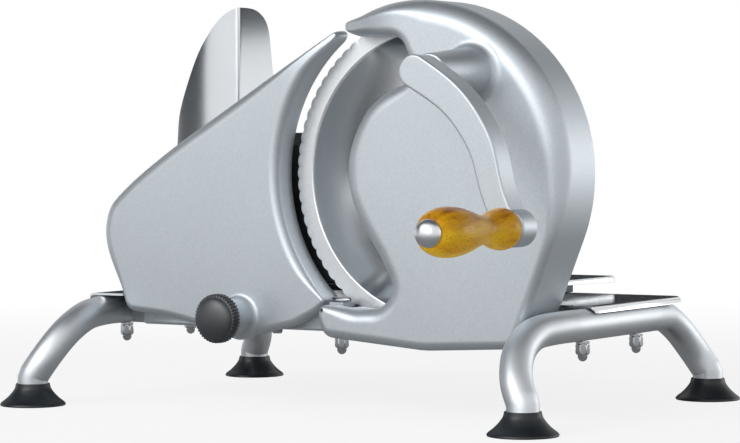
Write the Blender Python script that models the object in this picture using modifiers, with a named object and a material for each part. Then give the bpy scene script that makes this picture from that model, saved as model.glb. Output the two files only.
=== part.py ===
"""Manual food slicer: a hand crank turns a serrated round blade through three gears.

Metres, +Z up, +X towards the crank side, -Y towards the crank handle. The origin is
on the floor, under the middle of the whole machine's outer box.
"""

from math import acos, atan2, ceil, cos, hypot, pi, radians, sin, sqrt, tan

import bmesh
import bpy
from mathutils import Vector

# Fits and sheet gauges, and how far a cutter runs past what it cuts
GAP = 0.0003
BEYOND = 0.0100
PLATE_T = 0.0012
GUARD_T = 0.0012

# Blade
BLADE_R = 0.085
BLADE_LOBES = 76
LOBE_DEPTH = 0.0012
BEVEL_WIDTH = 0.010
BLADE_T = 0.0015
BLADE_EDGE_T = 0.0003
BLADE_DISH = 0.0041
BLADE_Y = -0.0450

# Legs and feet
FOOT_X = 0.1513
FOOT_Y = 0.1075
FOOT_R = 0.0178
FOOT_H = 0.0120
FOOT_TOP = 0.0156
COLLAR_R = 0.0090
TUBE_X = 0.1446
TUBE_R = 0.0082
TUBE_WALL = 0.0015
TUBE_RUN = 0.0450
TUBE_END_Z = 0.0042

# Base plate
PLATE_TOP = 0.0589
PLATE_HALF = 0.1470
PLATE_FRONT = -0.0300
PLATE_BACK = 0.0740
TAB_FRONT = -0.0573
TAB_LEFT = -0.1270
LIP_OUT = 0.0052
LIP_DROP = 0.0037

# Housing
RIM_CLEARANCE = 0.0020
HOUSING_WALL = 0.0026
MEASURED_DRUM = (0.0657, 0.1262, 0.0896)
CAST_WALL = 0.0030
HOUSING_BOTTOM = 0.0366
HOUSING_PAST_TUBE = 0.0107
HOUSING_BACK = -0.0380
HOUSING_FRONT = -0.0740
EDGE_ROUND = 0.0120
HOOK_ROUND_DEPTH = 0.0170
CRANK_IN = 0.0260
CRANK_ANGLE = radians(53.1)
BOSS_BASE_R = 0.0130
BOSS_TIP_R = 0.0090
BOSS_LENGTH = 0.0430

# Gears
MODULE = 0.0015
BLADE_TEETH = 22
GEAR_ROOM = 0.0018
PRESSURE_ANGLE = radians(20)
BACKLASH = 0.0003
GEAR_WIDTH = 0.0100
HUB_FLANGE_R = 0.0240
HUB_FLANGE_T = 0.0020
SPIGOT_R = 0.0100
AXLE_R = 0.0040
IDLER_PIN_R = 0.0030
PIN_HEAD_R = 0.0050
CRANK_SHAFT_R = 0.0048
BUSH_WALL = 0.0015
BUSH_LENGTH = 0.0180
BLADE_SCREW_R = 0.0150
BLADE_SCREW_H = 0.0030

# Crank and grip
ARM_T = 0.0147
ARM_HUB_R = 0.0082
ARM_END_R = 0.0092
GRIP_X = 0.0517
GRIP_DROP = 0.0757
GRIP_LENGTH = 0.0720
GRIP_PIN_R = 0.0030
CAP_R = 0.0066
CAP_H = 0.0060

# Stop plate
STOP_GAP = 0.0032
STOP_FACE = -0.0465
STOP_FRONT = -0.0620
STOP_ROUND_DEPTH = 0.0095
STOP_ARC_ROUND = 0.0050
STOP_STEP_Z = 0.0605
KNOB_X = -0.0460
KNOB_R = 0.0131
KNOB_RIBS = 32
KNOB_T = 0.0062
KNOB_DOME = 0.0045
KNOB_BOSS_R = 0.0097
KNOB_BOSS_L = 0.0175
SPINDLE_R = 0.0040
GUIDE_R = 0.0030
GUIDE_XS = (-0.0840, -0.0200)
GUIDE_Z = 0.0500

# Chassis beam
BEAM_BOTTOM = 0.0418
BEAM_BACK = -0.0120
BEAM_SHELF_BACK = -0.0220
STEP_FRONT = -0.0520
STEP_LEFT = -0.1180
STEP_SHORT = 0.0023
LUG_LENGTH = 0.0082
LUG_FRONT = -0.0600
LUG_BACK = -0.0483
LUG_T = 0.0040
LUG_TOP = 0.0584
HOOK_BOLT_IN = 0.0045
HOOK_BOLT_Y = -0.0555
HOOK_SEAT_Z = 0.0412
HOOK_TIP_REACH = 0.0554
SIDE_SCREW_X = 0.1180
SIDE_SCREW_Z = 0.0465

# Fasteners
BOLT_R = 0.0020
BOLT_HEAD_R = 0.0045
BOLT_HEAD_H = 0.0014
NUT_FLATS = 0.0073
NUT_HEX_H = 0.0060
NUT_DOME_H = 0.0033
NUT_NECK_R = 0.0034
NUT_NECK_H = 0.0010
BOLT_Y = 0.0310
BEAM_SCREW_X = 0.1000
BEAM_SCREW_Y = -0.0170

# Carriage, thumb guard and food holder
CARRIAGE_TOP = 0.0671
CARRIAGE_LIP = 0.0040
CARRIAGE_LEFT = -0.1120
CARRIAGE_RIGHT = 0.0950
CARRIAGE_FRONT = -0.0360
CARRIAGE_BACK = 0.1080
FRONT_SHOE_XS = (-0.0450, 0.0250)
REAR_SHOE_XS = (-0.0900, 0.0751)
SHOE_LENGTH = 0.0200
SHOE_WRAP = 0.0027
GUARD_X = -0.0630
GUARD_TOP = 0.2165
GUARD_BACK = 0.1060
RIVET_R = 0.0020
RIVET_YS = (0.0380, 0.0860)
HOLDER_RIGHT = 0.0700
HOLDER_TOP = 0.1478
HOLDER_T = 0.0040
HOLDER_FOOT_T = 0.0030

# Worked out from the sizes above
BEAM_TOP = PLATE_TOP - PLATE_T - GAP
BEAM_SHELF = BEAM_TOP - SHOE_WRAP - GAP
TUBE_Z = PLATE_TOP - PLATE_T - GAP - TUBE_R
HOUSING_R = BLADE_R + RIM_CLEARANCE + HOUSING_WALL
DRUM_SHARE = HOUSING_R / MEASURED_DRUM[2]
BLADE_X = TUBE_X + HOUSING_PAST_TUBE - HOUSING_R
BLADE_Z = HOUSING_BOTTOM + HOUSING_R
HOOK_TIP_X = BLADE_X - HOOK_TIP_REACH * DRUM_SHARE
HOOK_BOLT_X = HOOK_TIP_X + HOOK_BOLT_IN
STEP_RIGHT = HOOK_TIP_X - STEP_SHORT
LUG_RIGHT = HOOK_TIP_X + LUG_LENGTH
CRANK_REACH = HOUSING_R - CRANK_IN
CRANK_TEETH = int((CRANK_IN - CAST_WALL - GEAR_ROOM) / (MODULE / 2)) - 2
TEETH_TO_BRIDGE = ceil(CRANK_REACH / MODULE - (CRANK_TEETH + BLADE_TEETH) / 2) + 1
TEETH_TO_CLEAR = ceil((HUB_FLANGE_R + PIN_HEAD_R + GAP) / (MODULE / 2)) - BLADE_TEETH
IDLER_TEETH = max(TEETH_TO_BRIDGE, TEETH_TO_CLEAR)
CRANK_X = BLADE_X + CRANK_REACH * cos(CRANK_ANGLE)
CRANK_Z = BLADE_Z + CRANK_REACH * sin(CRANK_ANGLE)
KNOB_Z = TUBE_Z
BLADE_HUB_Y = BLADE_Y - BLADE_DISH
FLANGE_BACK = BLADE_HUB_Y - BLADE_T - GAP
GEAR_BACK = FLANGE_BACK - HUB_FLANGE_T - GAP
GEAR_FRONT = GEAR_BACK - GEAR_WIDTH
INNER_FRONT = HOUSING_FRONT + CAST_WALL
BLIND_Y = INNER_FRONT + 0.0010
BOSS_TIP_Y = HOUSING_FRONT - BOSS_LENGTH
ARM_BACK = BOSS_TIP_Y - GAP
ARM_FRONT = ARM_BACK - ARM_T
GRIP_AX = CRANK_X + GRIP_X
GRIP_AZ = CRANK_Z - GRIP_DROP
GRIP_BACK = ARM_FRONT - GAP
GRIP_TIP = GRIP_BACK - GRIP_LENGTH
CAP_TIP = GRIP_TIP - GAP - CAP_H
KNOB_BACK = STOP_FRONT - KNOB_BOSS_L - GAP
KNOB_FRONT = KNOB_BACK - KNOB_T
CARRIAGE_UNDER = CARRIAGE_TOP - PLATE_T
GUARD_FACE = CARRIAGE_FRONT - GAP
Y_MIDDLE = (CAP_TIP + FOOT_Y + FOOT_R) / 2

SMOOTH_ANGLE = radians(35)

for old in list(bpy.data.objects):
    bpy.data.objects.remove(old, do_unlink=True)

parts = bpy.data.collections.new("manual_food_slicer")
cutters = bpy.data.collections.new("cutters")
for collection in (parts, cutters):
    bpy.context.scene.collection.children.link(collection)


# Materials

def material(name, colour, roughness, metallic):
    """A Principled material with one colour."""
    made = bpy.data.materials.new(name)
    made.use_nodes = True
    shader = made.node_tree.nodes["Principled BSDF"]
    shader.inputs["Base Color"].default_value = (*colour, 1)
    shader.inputs["Roughness"].default_value = roughness
    shader.inputs["Metallic"].default_value = metallic
    made.diffuse_color = (*colour, 1)
    return made


SILVER = material("silver_paint", (0.62, 0.65, 0.68), 0.38, 0.7)
STEEL = material("polished_steel", (0.72, 0.74, 0.76), 0.12, 1.0)
BRUSHED = material("brushed_blade_steel", (0.70, 0.72, 0.74), 0.28, 1.0)
CHROME = material("chrome", (0.80, 0.81, 0.83), 0.06, 1.0)
RUBBER = material("black_rubber", (0.02, 0.025, 0.03), 0.55, 0.0)
PLASTIC = material("black_plastic", (0.015, 0.015, 0.017), 0.40, 0.0)
NYLON = material("white_nylon", (0.80, 0.79, 0.74), 0.45, 0.0)
WOOD = material("varnished_wood", (0.62, 0.33, 0.06), 0.30, 0.0)
BRONZE = material("bronze_bush", (0.55, 0.38, 0.18), 0.40, 1.0)


# Placing

def empty(name, at, parent=None):
    """A joint's empty, placed in the machine's frame."""
    made = bpy.data.objects.new(name, None)
    made.empty_display_size = 0.02
    parts.objects.link(made)
    made["at"] = at
    if parent:
        made.parent = parent
        made.location = Vector(at) - Vector(parent["at"])
    return made


root = empty("slicer", (0, 0, 0))
root.location = (0, -Y_MIDDLE, 0)
crank_pivot = empty("crank_pivot", (CRANK_X, ARM_BACK, CRANK_Z), root)
grip_pivot = empty("grip_pivot", (GRIP_AX, GRIP_BACK, GRIP_AZ), crank_pivot)
idler_reach = (IDLER_TEETH + BLADE_TEETH) * MODULE / 2
idler_to_crank = (IDLER_TEETH + CRANK_TEETH) * MODULE / 2
along = (idler_reach**2 - idler_to_crank**2 + CRANK_REACH**2) / (2 * CRANK_REACH)
IDLER_ANGLE = CRANK_ANGLE - acos(along / idler_reach)
IDLER_X = BLADE_X + idler_reach * cos(IDLER_ANGLE)
IDLER_Z = BLADE_Z + idler_reach * sin(IDLER_ANGLE)
idler_pivot = empty("idler_pivot", (IDLER_X, GEAR_FRONT, IDLER_Z), root)
blade_pivot = empty("blade_pivot", (BLADE_X, BLADE_Y, BLADE_Z), root)
stop_slide = empty("stop_slide", (KNOB_X, STOP_FRONT, KNOB_Z), root)
knob_pivot = empty("knob_pivot", (KNOB_X, KNOB_BACK, KNOB_Z), stop_slide)
carriage_slide = empty("carriage_slide", (0, 0, CARRIAGE_TOP), root)
holder_slide = empty("holder_slide", (GUARD_X, CARRIAGE_FRONT, CARRIAGE_TOP), carriage_slide)


def place(obj, parent, at, look=None):
    """Puts an object, whose own coordinates start at a point, under a joint's empty."""
    obj.parent = parent
    obj.location = Vector(at) - Vector(parent["at"])
    if look:
        parts.objects.link(obj)
        obj.data.materials.append(look)
    else:
        cutters.objects.link(obj)
        obj.hide_render = True
        obj.display_type = "WIRE"
    return obj


def finish(name, bm, parent, look):
    """Makes an object of a bmesh that was drawn in the machine's frame."""
    bmesh.ops.recalc_face_normals(bm, faces=bm.faces)
    if bm.calc_volume(signed=True) < 0:
        bmesh.ops.reverse_faces(bm, faces=bm.faces)
    at = Vector(parent["at"])
    bmesh.ops.translate(bm, verts=bm.verts, vec=-at)
    mesh = bpy.data.meshes.new(name)
    bm.to_mesh(mesh)
    bm.free()
    mesh.shade_smooth()
    mesh.set_sharp_from_angle(angle=SMOOTH_ANGLE)
    return place(bpy.data.objects.new(name, mesh), parent, at, look)


# Shapes

def turned(name, profile, axis, at, steps, parent=None, look=None, ring=False):
    """Screws a profile of (radius, height along the axis) points round an axis."""
    points = list(profile)
    loop = points + points[:1]
    area = sum(a[0] * b[1] - b[0] * a[1] for a, b in zip(loop, loop[1:]))
    if area > 0:
        points.reverse()
    flat = [(r, h, 0) if axis == "Y" else (r, 0, h) for r, h in points]
    edges = [(i, i + 1) for i in range(len(flat) - 1)]
    if ring:
        edges.append((len(flat) - 1, 0))
    mesh = bpy.data.meshes.new(name)
    mesh.from_pydata(flat, edges, [])
    obj = bpy.data.objects.new(name, mesh)
    screw = obj.modifiers.new("turn", "SCREW")
    screw.axis = axis
    screw.steps = steps
    screw.render_steps = steps
    screw.use_merge_vertices = True
    screw.merge_threshold = 0.00001
    return place(obj, parent or root, at, look)


def rod(name, radius, start, end, axis, at, steps=20, parent=None, look=None):
    """A plain cylinder between two heights of its axis, through a point."""
    profile = [(0, end), (radius, end), (radius, start), (0, start)]
    return turned(name, profile, axis, at, steps, parent, look)


def block(name, low, high, parent=None, look=None, bevel=0.0):
    """A box between two corners of the machine's frame."""
    bm = bmesh.new()
    bmesh.ops.create_cube(bm, size=1)
    size = Vector(high) - Vector(low)
    bmesh.ops.scale(bm, vec=size, verts=bm.verts)
    bmesh.ops.translate(bm, vec=(Vector(low) + Vector(high)) / 2, verts=bm.verts)
    obj = finish(name, bm, parent or root, look)
    if bevel:
        round_edges(obj, bevel)
    return obj


def round_edges(obj, width, segments=2):
    """Rounds an object's sharp edges."""
    bevel = obj.modifiers.new("round", "BEVEL")
    bevel.width = width
    bevel.segments = segments
    bevel.limit_method = "ANGLE"
    bevel.angle_limit = SMOOTH_ANGLE


def plate(name, outline, across, start, end, parent=None, look=None):
    """Extrudes a flat outline along X, Y or Z between two places on that axis."""
    order = {
        "X": lambda u, v, w: (w, u, v),
        "Y": lambda u, v, w: (u, w, v),
        "Z": lambda u, v, w: (u, v, w),
    }
    bm = bmesh.new()
    face = bm.faces.new([bm.verts.new(order[across](u, v, start)) for u, v in outline])
    grown = bmesh.ops.extrude_face_region(bm, geom=[face])["geom"]
    moved = [item for item in grown if isinstance(item, bmesh.types.BMVert)]
    bmesh.ops.translate(bm, vec=order[across](0, 0, end - start), verts=moved)
    return finish(name, bm, parent or root, look)


def lofted(name, rings, parent=None, look=None):
    """Skins rings of equal count, and caps the first and the last."""
    bm = bmesh.new()
    loops = [[bm.verts.new(point) for point in ring] for ring in rings]
    count = len(loops[0])
    for low, high in zip(loops, loops[1:]):
        for i in range(count):
            j = (i + 1) % count
            bm.faces.new((low[i], low[j], high[j], high[i]))
    bm.faces.new(loops[0])
    bm.faces.new(loops[-1])
    return finish(name, bm, parent or root, look)


def cut(obj, *tools):
    """Takes each tool's solid out of an object."""
    combine(obj, "DIFFERENCE", tools)


def join(obj, *tools):
    """Adds each tool's solid to an object."""
    combine(obj, "UNION", tools)


def combine(obj, operation, tools):
    for tool in tools:
        boolean = obj.modifiers.new(tool.name, "BOOLEAN")
        boolean.operation = operation
        boolean.solver = "EXACT"
        boolean.object = tool


def spline(points, spans=3):
    """Points along a smooth curve through the given points, ends included."""
    padded = [points[0], *points, points[-1]]
    made = [points[0]]
    for p0, p1, p2, p3 in zip(padded, padded[1:], padded[2:], padded[3:]):
        for i in range(1, spans + 1):
            t = i / spans
            made.append(tuple(
                b + ((c - a) * t + (2 * a - 5 * b + 4 * c - d) * t**2 + (3 * b - a - 3 * c + d) * t**3) / 2
                for a, b, c, d in zip(p0, p1, p2, p3)
            ))
    return made


def normals(outline):
    """The outward direction at each point of an outline that runs counterclockwise."""
    made = []
    for before, after in zip(outline[-1:] + outline[:-1], outline[1:] + outline[:1]):
        dx = after[0] - before[0]
        dz = after[1] - before[1]
        length = hypot(dx, dz)
        made.append((dz / length, -dx / length))
    return made


def inset(outline, amounts):
    """Moves each point of an outline inwards by its own amount."""
    return [
        (x - nx * d, z - nz * d)
        for (x, z), (nx, nz), d in zip(outline, normals(outline), amounts)
    ]


def filleted(corners, steps=4):
    """Rounds corners of (x, z, radius, edge) into points of (x, z, edge)."""
    made = []
    for before, corner, after in zip(corners[-1:] + corners[:-1], corners, corners[1:] + corners[:1]):
        x, z, radius, edge = corner
        if not radius:
            made.append((x, z, edge))
            continue
        back = Vector(before[:2]) - Vector((x, z))
        ahead = Vector(after[:2]) - Vector((x, z))
        back.normalize()
        ahead.normalize()
        half = acos(max(-1, min(1, back.dot(ahead)))) / 2
        middle = Vector((x, z)) + (back + ahead).normalized() * radius / sin(half)
        start = Vector((x, z)) + back * radius / tan(half) - middle
        end = Vector((x, z)) + ahead * radius / tan(half) - middle
        swing = start.angle_signed(end)
        first = atan2(start.y, start.x)
        for i in range(steps + 1):
            a = first - swing * i / steps
            made.append((middle.x + radius * cos(a), middle.y + radius * sin(a), edge))
    return made


def pillow(name, outline, back, front, parent=None, look=None, bands=4, back_round=0.0):
    """A slab along Y with its front edge rounded, by each outline point's (x, z, (inset, depth))."""
    flat = [(x, z) for x, z, _ in outline]
    insets = [edge[0] for _, _, edge in outline]
    depths = [edge[1] for _, _, edge in outline]
    rings = []
    if back_round:
        for i in range(bands + 1):
            turn = pi / 2 * (1 - i / bands)
            shrunk = inset(flat, [back_round * (1 - cos(turn))] * len(flat))
            rings.append([(x, back - back_round * (1 - sin(turn)), z) for x, z in shrunk])
    else:
        rings.append([(x, back, z) for x, z in flat])
    for i in range(bands + 1):
        turn = pi / 2 * i / bands
        shrunk = inset(flat, [amount * (1 - cos(turn)) for amount in insets])
        rings.append([
            (x, front + depth * (1 - sin(turn)), z) for (x, z), depth in zip(shrunk, depths)
        ])
    return lofted(name, rings, parent, look)


def tip_waste(name, tip, angle, length, depth, front, half_width):
    """A cutter that makes a front face fall back in a curve towards a tip, which points at an angle."""
    over = 0.0003
    shares = (0.0, 0.2, 0.4, 0.6, 0.8, 1.0, 1.2)
    section = [(length, front - 0.02)]
    section += [(length * (1 - s), front - over + (depth + over) * s**2.2) for s in shares]
    section.append((-0.2 * length, front - 0.02))
    rings = [
        [
            (tip[0] - u * cos(angle) - w * sin(angle), y, tip[1] - u * sin(angle) + w * cos(angle))
            for u, y in section
        ]
        for w in (-half_width, half_width)
    ]
    return lofted(name, rings)


def tube(name, path, radius, parent=None, look=None, resolution=3):
    """A round bar along a path of points."""
    curve = bpy.data.curves.new(name + "_path", "CURVE")
    curve.dimensions = "3D"
    curve.bevel_depth = radius
    curve.bevel_resolution = resolution
    curve.use_fill_caps = True
    line = curve.splines.new("POLY")
    line.points.add(len(path) - 1)
    for point, at in zip(line.points, path):
        point.co = (*at, 1)
    holder = bpy.data.objects.new(name + "_path", curve)
    cutters.objects.link(holder)
    bpy.context.view_layer.update()
    graph = bpy.context.evaluated_depsgraph_get()
    mesh = bpy.data.meshes.new_from_object(holder.evaluated_get(graph))
    bm = bmesh.new()
    bm.from_mesh(mesh)
    bmesh.ops.remove_doubles(bm, verts=bm.verts, dist=0.00001)
    bpy.data.objects.remove(holder, do_unlink=True)
    return finish(name, bm, parent or root, look)


# Legs and feet: bent tubes pushed into the collars of suction cups

LEG_BEND = (
    (0.1425, 0.0600, 0.0488),
    (0.1400, 0.0765, 0.0468),
    (0.1408, 0.0925, 0.0388),
    (0.1450, 0.1030, 0.0270),
    (0.1490, 0.1063, 0.0195),
)
FOOT_FLARE = ((0.0175, 0.0014), (0.0158, 0.0026), (0.0135, 0.0045), (0.0115, 0.0070), (0.0100, 0.0092))
CUP_RIM = 0.0026
CUP_HEIGHT = 0.0024
TUBE_HOLE_R = BOLT_R + GAP


def leg_path(side, below=0.0):
    """One side's tube axis from the front foot to the back foot, drawn out at both ends if asked."""
    half = [(TUBE_X, TUBE_RUN, TUBE_Z), *LEG_BEND, (FOOT_X, FOOT_Y, FOOT_TOP)]
    bend = spline(half, 2) + [(FOOT_X, FOOT_Y, TUBE_END_Z - below)]
    whole = [(x, -y, z) for x, y, z in reversed(bend)] + bend
    return [(side * x, y, z) for x, y, z in whole]


def leg_tube(name, side):
    body = tube(name, leg_path(side), TUBE_R, root, STEEL)
    bore = tube(name + "_bore", leg_path(side, 0.002), TUBE_R - TUBE_WALL, resolution=2)
    holes = [
        rod(f"{name}_hole_{end}", TUBE_HOLE_R, -0.012, 0.012, "Z", (side * TUBE_X, end * BOLT_Y, TUBE_Z))
        for end in (-1, 1)
    ]
    cut(body, bore, *holes)


def suction_foot(name, side, end):
    seat = TUBE_R + GAP
    profile = [
        (0, TUBE_END_Z - GAP),
        (seat, TUBE_END_Z - GAP),
        (seat, FOOT_H),
        (COLLAR_R, FOOT_H),
        *reversed(FOOT_FLARE),
        (FOOT_R, 0.0007),
        (FOOT_R - 0.0003, 0),
        (FOOT_R - CUP_RIM, 0),
        (FOOT_R - 2 * CUP_RIM, CUP_HEIGHT * 0.5),
        (FOOT_R / 2, CUP_HEIGHT * 0.9),
        (0, CUP_HEIGHT),
    ]
    turned(name, profile, "Z", (side * FOOT_X, end * FOOT_Y, 0), 20, root, RUBBER)


leg_tube("left_leg_tube", -1)
leg_tube("right_leg_tube", 1)
for foot_side, side_name in ((-1, "left"), (1, "right")):
    for foot_end, end_name in ((-1, "front"), (1, "rear")):
        suction_foot(f"suction_foot_{end_name}_{side_name}", foot_side, foot_end)


# Base plate with its studs and cap nuts

def base_plate():
    rolled = [
        (PLATE_HALF + LIP_OUT * sin(pi / 2 * i / 6), PLATE_TOP - LIP_DROP * (1 - cos(pi / 2 * i / 6)))
        for i in range(7)
    ]
    under = [
        (
            PLATE_HALF + (LIP_OUT - PLATE_T) * sin(pi / 2 * i / 6),
            PLATE_TOP - PLATE_T - (LIP_DROP - PLATE_T) * (1 - cos(pi / 2 * i / 6)),
        )
        for i in range(7)
    ]
    right = list(reversed(rolled)) + [(-x, z) for x, z in rolled]
    left = [(-x, z) for x, z in reversed(under)] + under
    body = plate("base_plate", right + left, "Y", TAB_FRONT, PLATE_BACK, root, STEEL)
    notch = block(
        "plate_notch",
        (TAB_LEFT, TAB_FRONT - BEYOND, PLATE_TOP - BEYOND),
        (TUBE_X - TUBE_R - GAP, PLATE_FRONT, PLATE_TOP + BEYOND),
    )
    holes = [
        rod(
            f"plate_screw_hole_{side}", BOLT_R + GAP, -BEYOND, BEYOND, "Z",
            (side * BEAM_SCREW_X, BEAM_SCREW_Y, PLATE_TOP),
        )
        for side in (-1, 1)
    ]
    cut(body, notch, *holes)


def cap_nut(name, axis, at, away):
    """A domed hexagon nut with a round neck; away is the sign of the axis towards its dome."""
    corner = NUT_FLATS / sqrt(3)
    sunk = 0.0005
    dome_r = NUT_FLATS / 2 * 0.96
    dome_foot = away * (NUT_HEX_H - sunk)
    turns = [pi / 2 * i / 3 for i in range(3)]
    dome = [(dome_r * cos(a), dome_foot + away * (NUT_DOME_H + sunk) * sin(a)) for a in turns]
    end, start = away * NUT_HEX_H, away * NUT_NECK_H
    hexagon_profile = [(0, end), (corner, end), (corner, start), (0, start)]
    hexagon = turned(name, hexagon_profile, axis, at, 6, root, CHROME)
    cap = turned(name + "_dome", [(0, dome_foot), *dome, (0, end + away * NUT_DOME_H)], axis, at, 12)
    neck = rod(name + "_neck", NUT_NECK_R, *sorted((0, end / 2)), axis, at, 12)
    bore_ends = sorted((away * NUT_HEX_H, -away * sunk))
    bore = rod(name + "_bore", BOLT_R + GAP, *bore_ends, axis, at, 12)
    join(hexagon, cap, neck)
    cut(hexagon, bore)


def plate_stud(name, side, end):
    top = BEAM_TOP
    bottom = TUBE_Z - TUBE_R - GAP - NUT_HEX_H + 0.0004
    at = (side * TUBE_X, end * BOLT_Y, TUBE_Z)
    rod(name, BOLT_R, bottom - TUBE_Z, top - TUBE_Z, "Z", at, 16, root, STEEL)


base_plate()
for foot_side, side_name in ((-1, "left"), (1, "right")):
    for foot_end, end_name in ((-1, "front"), (1, "rear")):
        plate_stud(f"plate_stud_{end_name}_{side_name}", foot_side, foot_end)
        cap_nut(
            f"cap_nut_{end_name}_{side_name}", "Z",
            (foot_side * TUBE_X, foot_end * BOLT_Y, TUBE_Z - TUBE_R - GAP), -1,
        )


# Chassis beam: a casting between the legs with a step for the stop plate and a lug for the housing

BEAM_FRONT = HOUSING_BACK + GAP
BEAM_HALF = TUBE_X - TUBE_R - GAP
STEP_TOP = 0.0570
POCKETS = ((-0.0740, -0.0560), (0.0120, 0.0900))
BEAM_WALL = 0.0030
BEAM_SCREW_BORE = 0.0090
BEAM_ROOF = 0.0040
STEP_BOTTOM = BEAM_BOTTOM + 0.0004
SCREW_Y = -0.0450
SCREW_X = -0.0330
SMALL_SCREW_R = 0.0015
SMALL_HEAD_R = 0.0032
SMALL_HEAD_H = 0.0024
SMALL_SCREW_L = 0.0050
REAR_SCREW_L = 0.0430
BUSH_R = 0.0057


def chassis_beam():
    section = [
        (BEAM_FRONT, BEAM_BOTTOM),
        (BEAM_BACK, BEAM_BOTTOM),
        (BEAM_BACK, BEAM_TOP),
        (BEAM_SHELF_BACK, BEAM_TOP),
        (BEAM_SHELF_BACK, BEAM_SHELF),
        (BEAM_FRONT, BEAM_SHELF),
    ]
    body = plate("chassis_beam", section, "X", -BEAM_HALF, BEAM_HALF, root, SILVER)
    step_back = BEAM_FRONT + 0.002
    step = block("beam_step", (STEP_LEFT, STEP_FRONT, STEP_BOTTOM), (STEP_RIGHT, step_back, STEP_TOP))
    round_edges(step, 0.0015)
    lug_low, lug_high = LUG_TOP - LUG_T, (LUG_RIGHT, LUG_BACK, LUG_TOP)
    lug_base = block("beam_lug_base", (STEP_RIGHT - 0.008, STEP_FRONT, lug_low), lug_high)
    lug = block("beam_lug", (HOOK_TIP_X - GAP, LUG_FRONT, lug_low), lug_high)
    join(body, step, lug_base, lug)
    pockets = [
        block(
            f"beam_pocket_{i}",
            (low, BEAM_FRONT + BEAM_WALL, BEAM_BOTTOM - BEYOND),
            (high, BEAM_BACK - BEAM_WALL, BEAM_SHELF - BEAM_ROOF),
        )
        for i, (low, high) in enumerate(POCKETS)
    ]
    bore_ends = (STEP_FRONT - BEYOND, BEAM_BACK + BEYOND)
    pins = [
        rod(f"beam_pin_bore_{i}", GUIDE_R + GAP, *bore_ends, "Y", (x, 0, GUIDE_Z))
        for i, x in enumerate(GUIDE_XS)
    ]
    at_knob = (KNOB_X, 0, KNOB_Z)
    spindle = rod("beam_spindle_bore", SPINDLE_R + GAP, *bore_ends, "Y", at_knob)
    bush = rod("beam_bush_seat", BUSH_R + GAP, STEP_FRONT - BEYOND, BEAM_FRONT - GAP, "Y", at_knob)
    screws = [
        rod(
            f"beam_screw_bore_{side}", BOLT_R + GAP, -BEAM_SCREW_BORE, BEYOND, "Z",
            (side * BEAM_SCREW_X, BEAM_SCREW_Y, BEAM_TOP),
        )
        for side in (-1, 1)
    ]
    side_screw = rod("beam_side_bore", BOLT_R + GAP, -0.05, 0.0, "Y", (SIDE_SCREW_X, 0, SIDE_SCREW_Z))
    hook_bolt = rod("beam_lug_bore", BOLT_R + GAP, -0.01, 0.01, "Z", (HOOK_BOLT_X, HOOK_BOLT_Y, LUG_TOP))
    small = rod("beam_small_bore", SMALL_SCREW_R + GAP, -0.01, 0.006, "Z", (SCREW_X, SCREW_Y, STEP_BOTTOM))
    cut(body, *pockets, *pins, spindle, bush, *screws, side_screw, hook_bolt, small)


def headed(name, axis, at, head_r, head_h, shank_r, shank_l, away, sides=12, parent=None):
    """A screw or bolt: at is under its head, and away is the sign of the axis towards the head."""
    profile = [
        (0, away * head_h),
        (head_r * 0.8, away * head_h),
        (head_r, away * head_h * 0.6),
        (head_r, 0),
        (shank_r, 0),
        (shank_r, -away * shank_l),
        (0, -away * shank_l),
    ]
    return turned(name, profile, axis, at, sides, parent, STEEL)


chassis_beam()
for foot_side, side_name in ((-1, "left"), (1, "right")):
    headed(
        f"beam_screw_{side_name}", "Z",
        (foot_side * BEAM_SCREW_X, BEAM_SCREW_Y, PLATE_TOP + GAP),
        BOLT_HEAD_R * 0.68, BOLT_HEAD_H, BOLT_R, 0.0085, 1,
    )
headed(
    "beam_hex_screw", "Z", (SCREW_X, SCREW_Y, STEP_BOTTOM - GAP),
    SMALL_HEAD_R, SMALL_HEAD_H, SMALL_SCREW_R, SMALL_SCREW_L, -1, 6,
)
headed(
    "housing_rear_screw", "Y", (SIDE_SCREW_X, BEAM_BACK + GAP, SIDE_SCREW_Z),
    BOLT_HEAD_R, BOLT_HEAD_H, BOLT_R, REAR_SCREW_L, 1,
)
bush_front = STEP_FRONT + GAP
bush_profile = [
    (SPINDLE_R + GAP, 0),
    (BUSH_R, 0),
    (BUSH_R, BEAM_FRONT - STEP_FRONT - 0.001),
    (SPINDLE_R + GAP, BEAM_FRONT - STEP_FRONT - 0.001),
]
turned("spindle_bush", bush_profile, "Y", (KNOB_X, bush_front, KNOB_Z), 16, root, BRONZE, ring=True)


# Gear housing: a die-cast drum with a crescent opening, hollow from behind

DRUM_START = -22
DRUM_END = 118
HOOK_START = 85
TIP_INSET = 0.0022
FOOT_ROUND = 0.0048
LEAST_ROUND = 0.0005
UPPER_TIP = (0.0180, 0.2026, 0.0018, (0.0015, HOOK_ROUND_DEPTH))
HOOK_UNDER = (
    (0.0267, 0.1997, 0.0, (0.0024, 0.0100)),
    (0.0390, 0.1984, 0.0, (0.0040, 0.0060)),
    (0.0610, 0.1968, 0.0090, (0.0052, 0.0052)),
    (0.0700, 0.1745, 0.0090, (0.0060, 0.0060)),
)
BULGE = (
    (0.0594, 0.1716, 0.0066),
    (0.0504, 0.1686, 0.0070),
    (0.0425, 0.1635, 0.0070),
    (0.0364, 0.1568, 0.0070),
    (0.0308, 0.1465, 0.0070),
    (0.0274, 0.1361, 0.0070),
    (0.0268, 0.1256, 0.0070),
    (0.0283, 0.1152, 0.0070),
    (0.0325, 0.1048, 0.0070),
    (0.0392, 0.0935, 0.0070),
    (0.0465, 0.0827, 0.0070),
)
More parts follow.
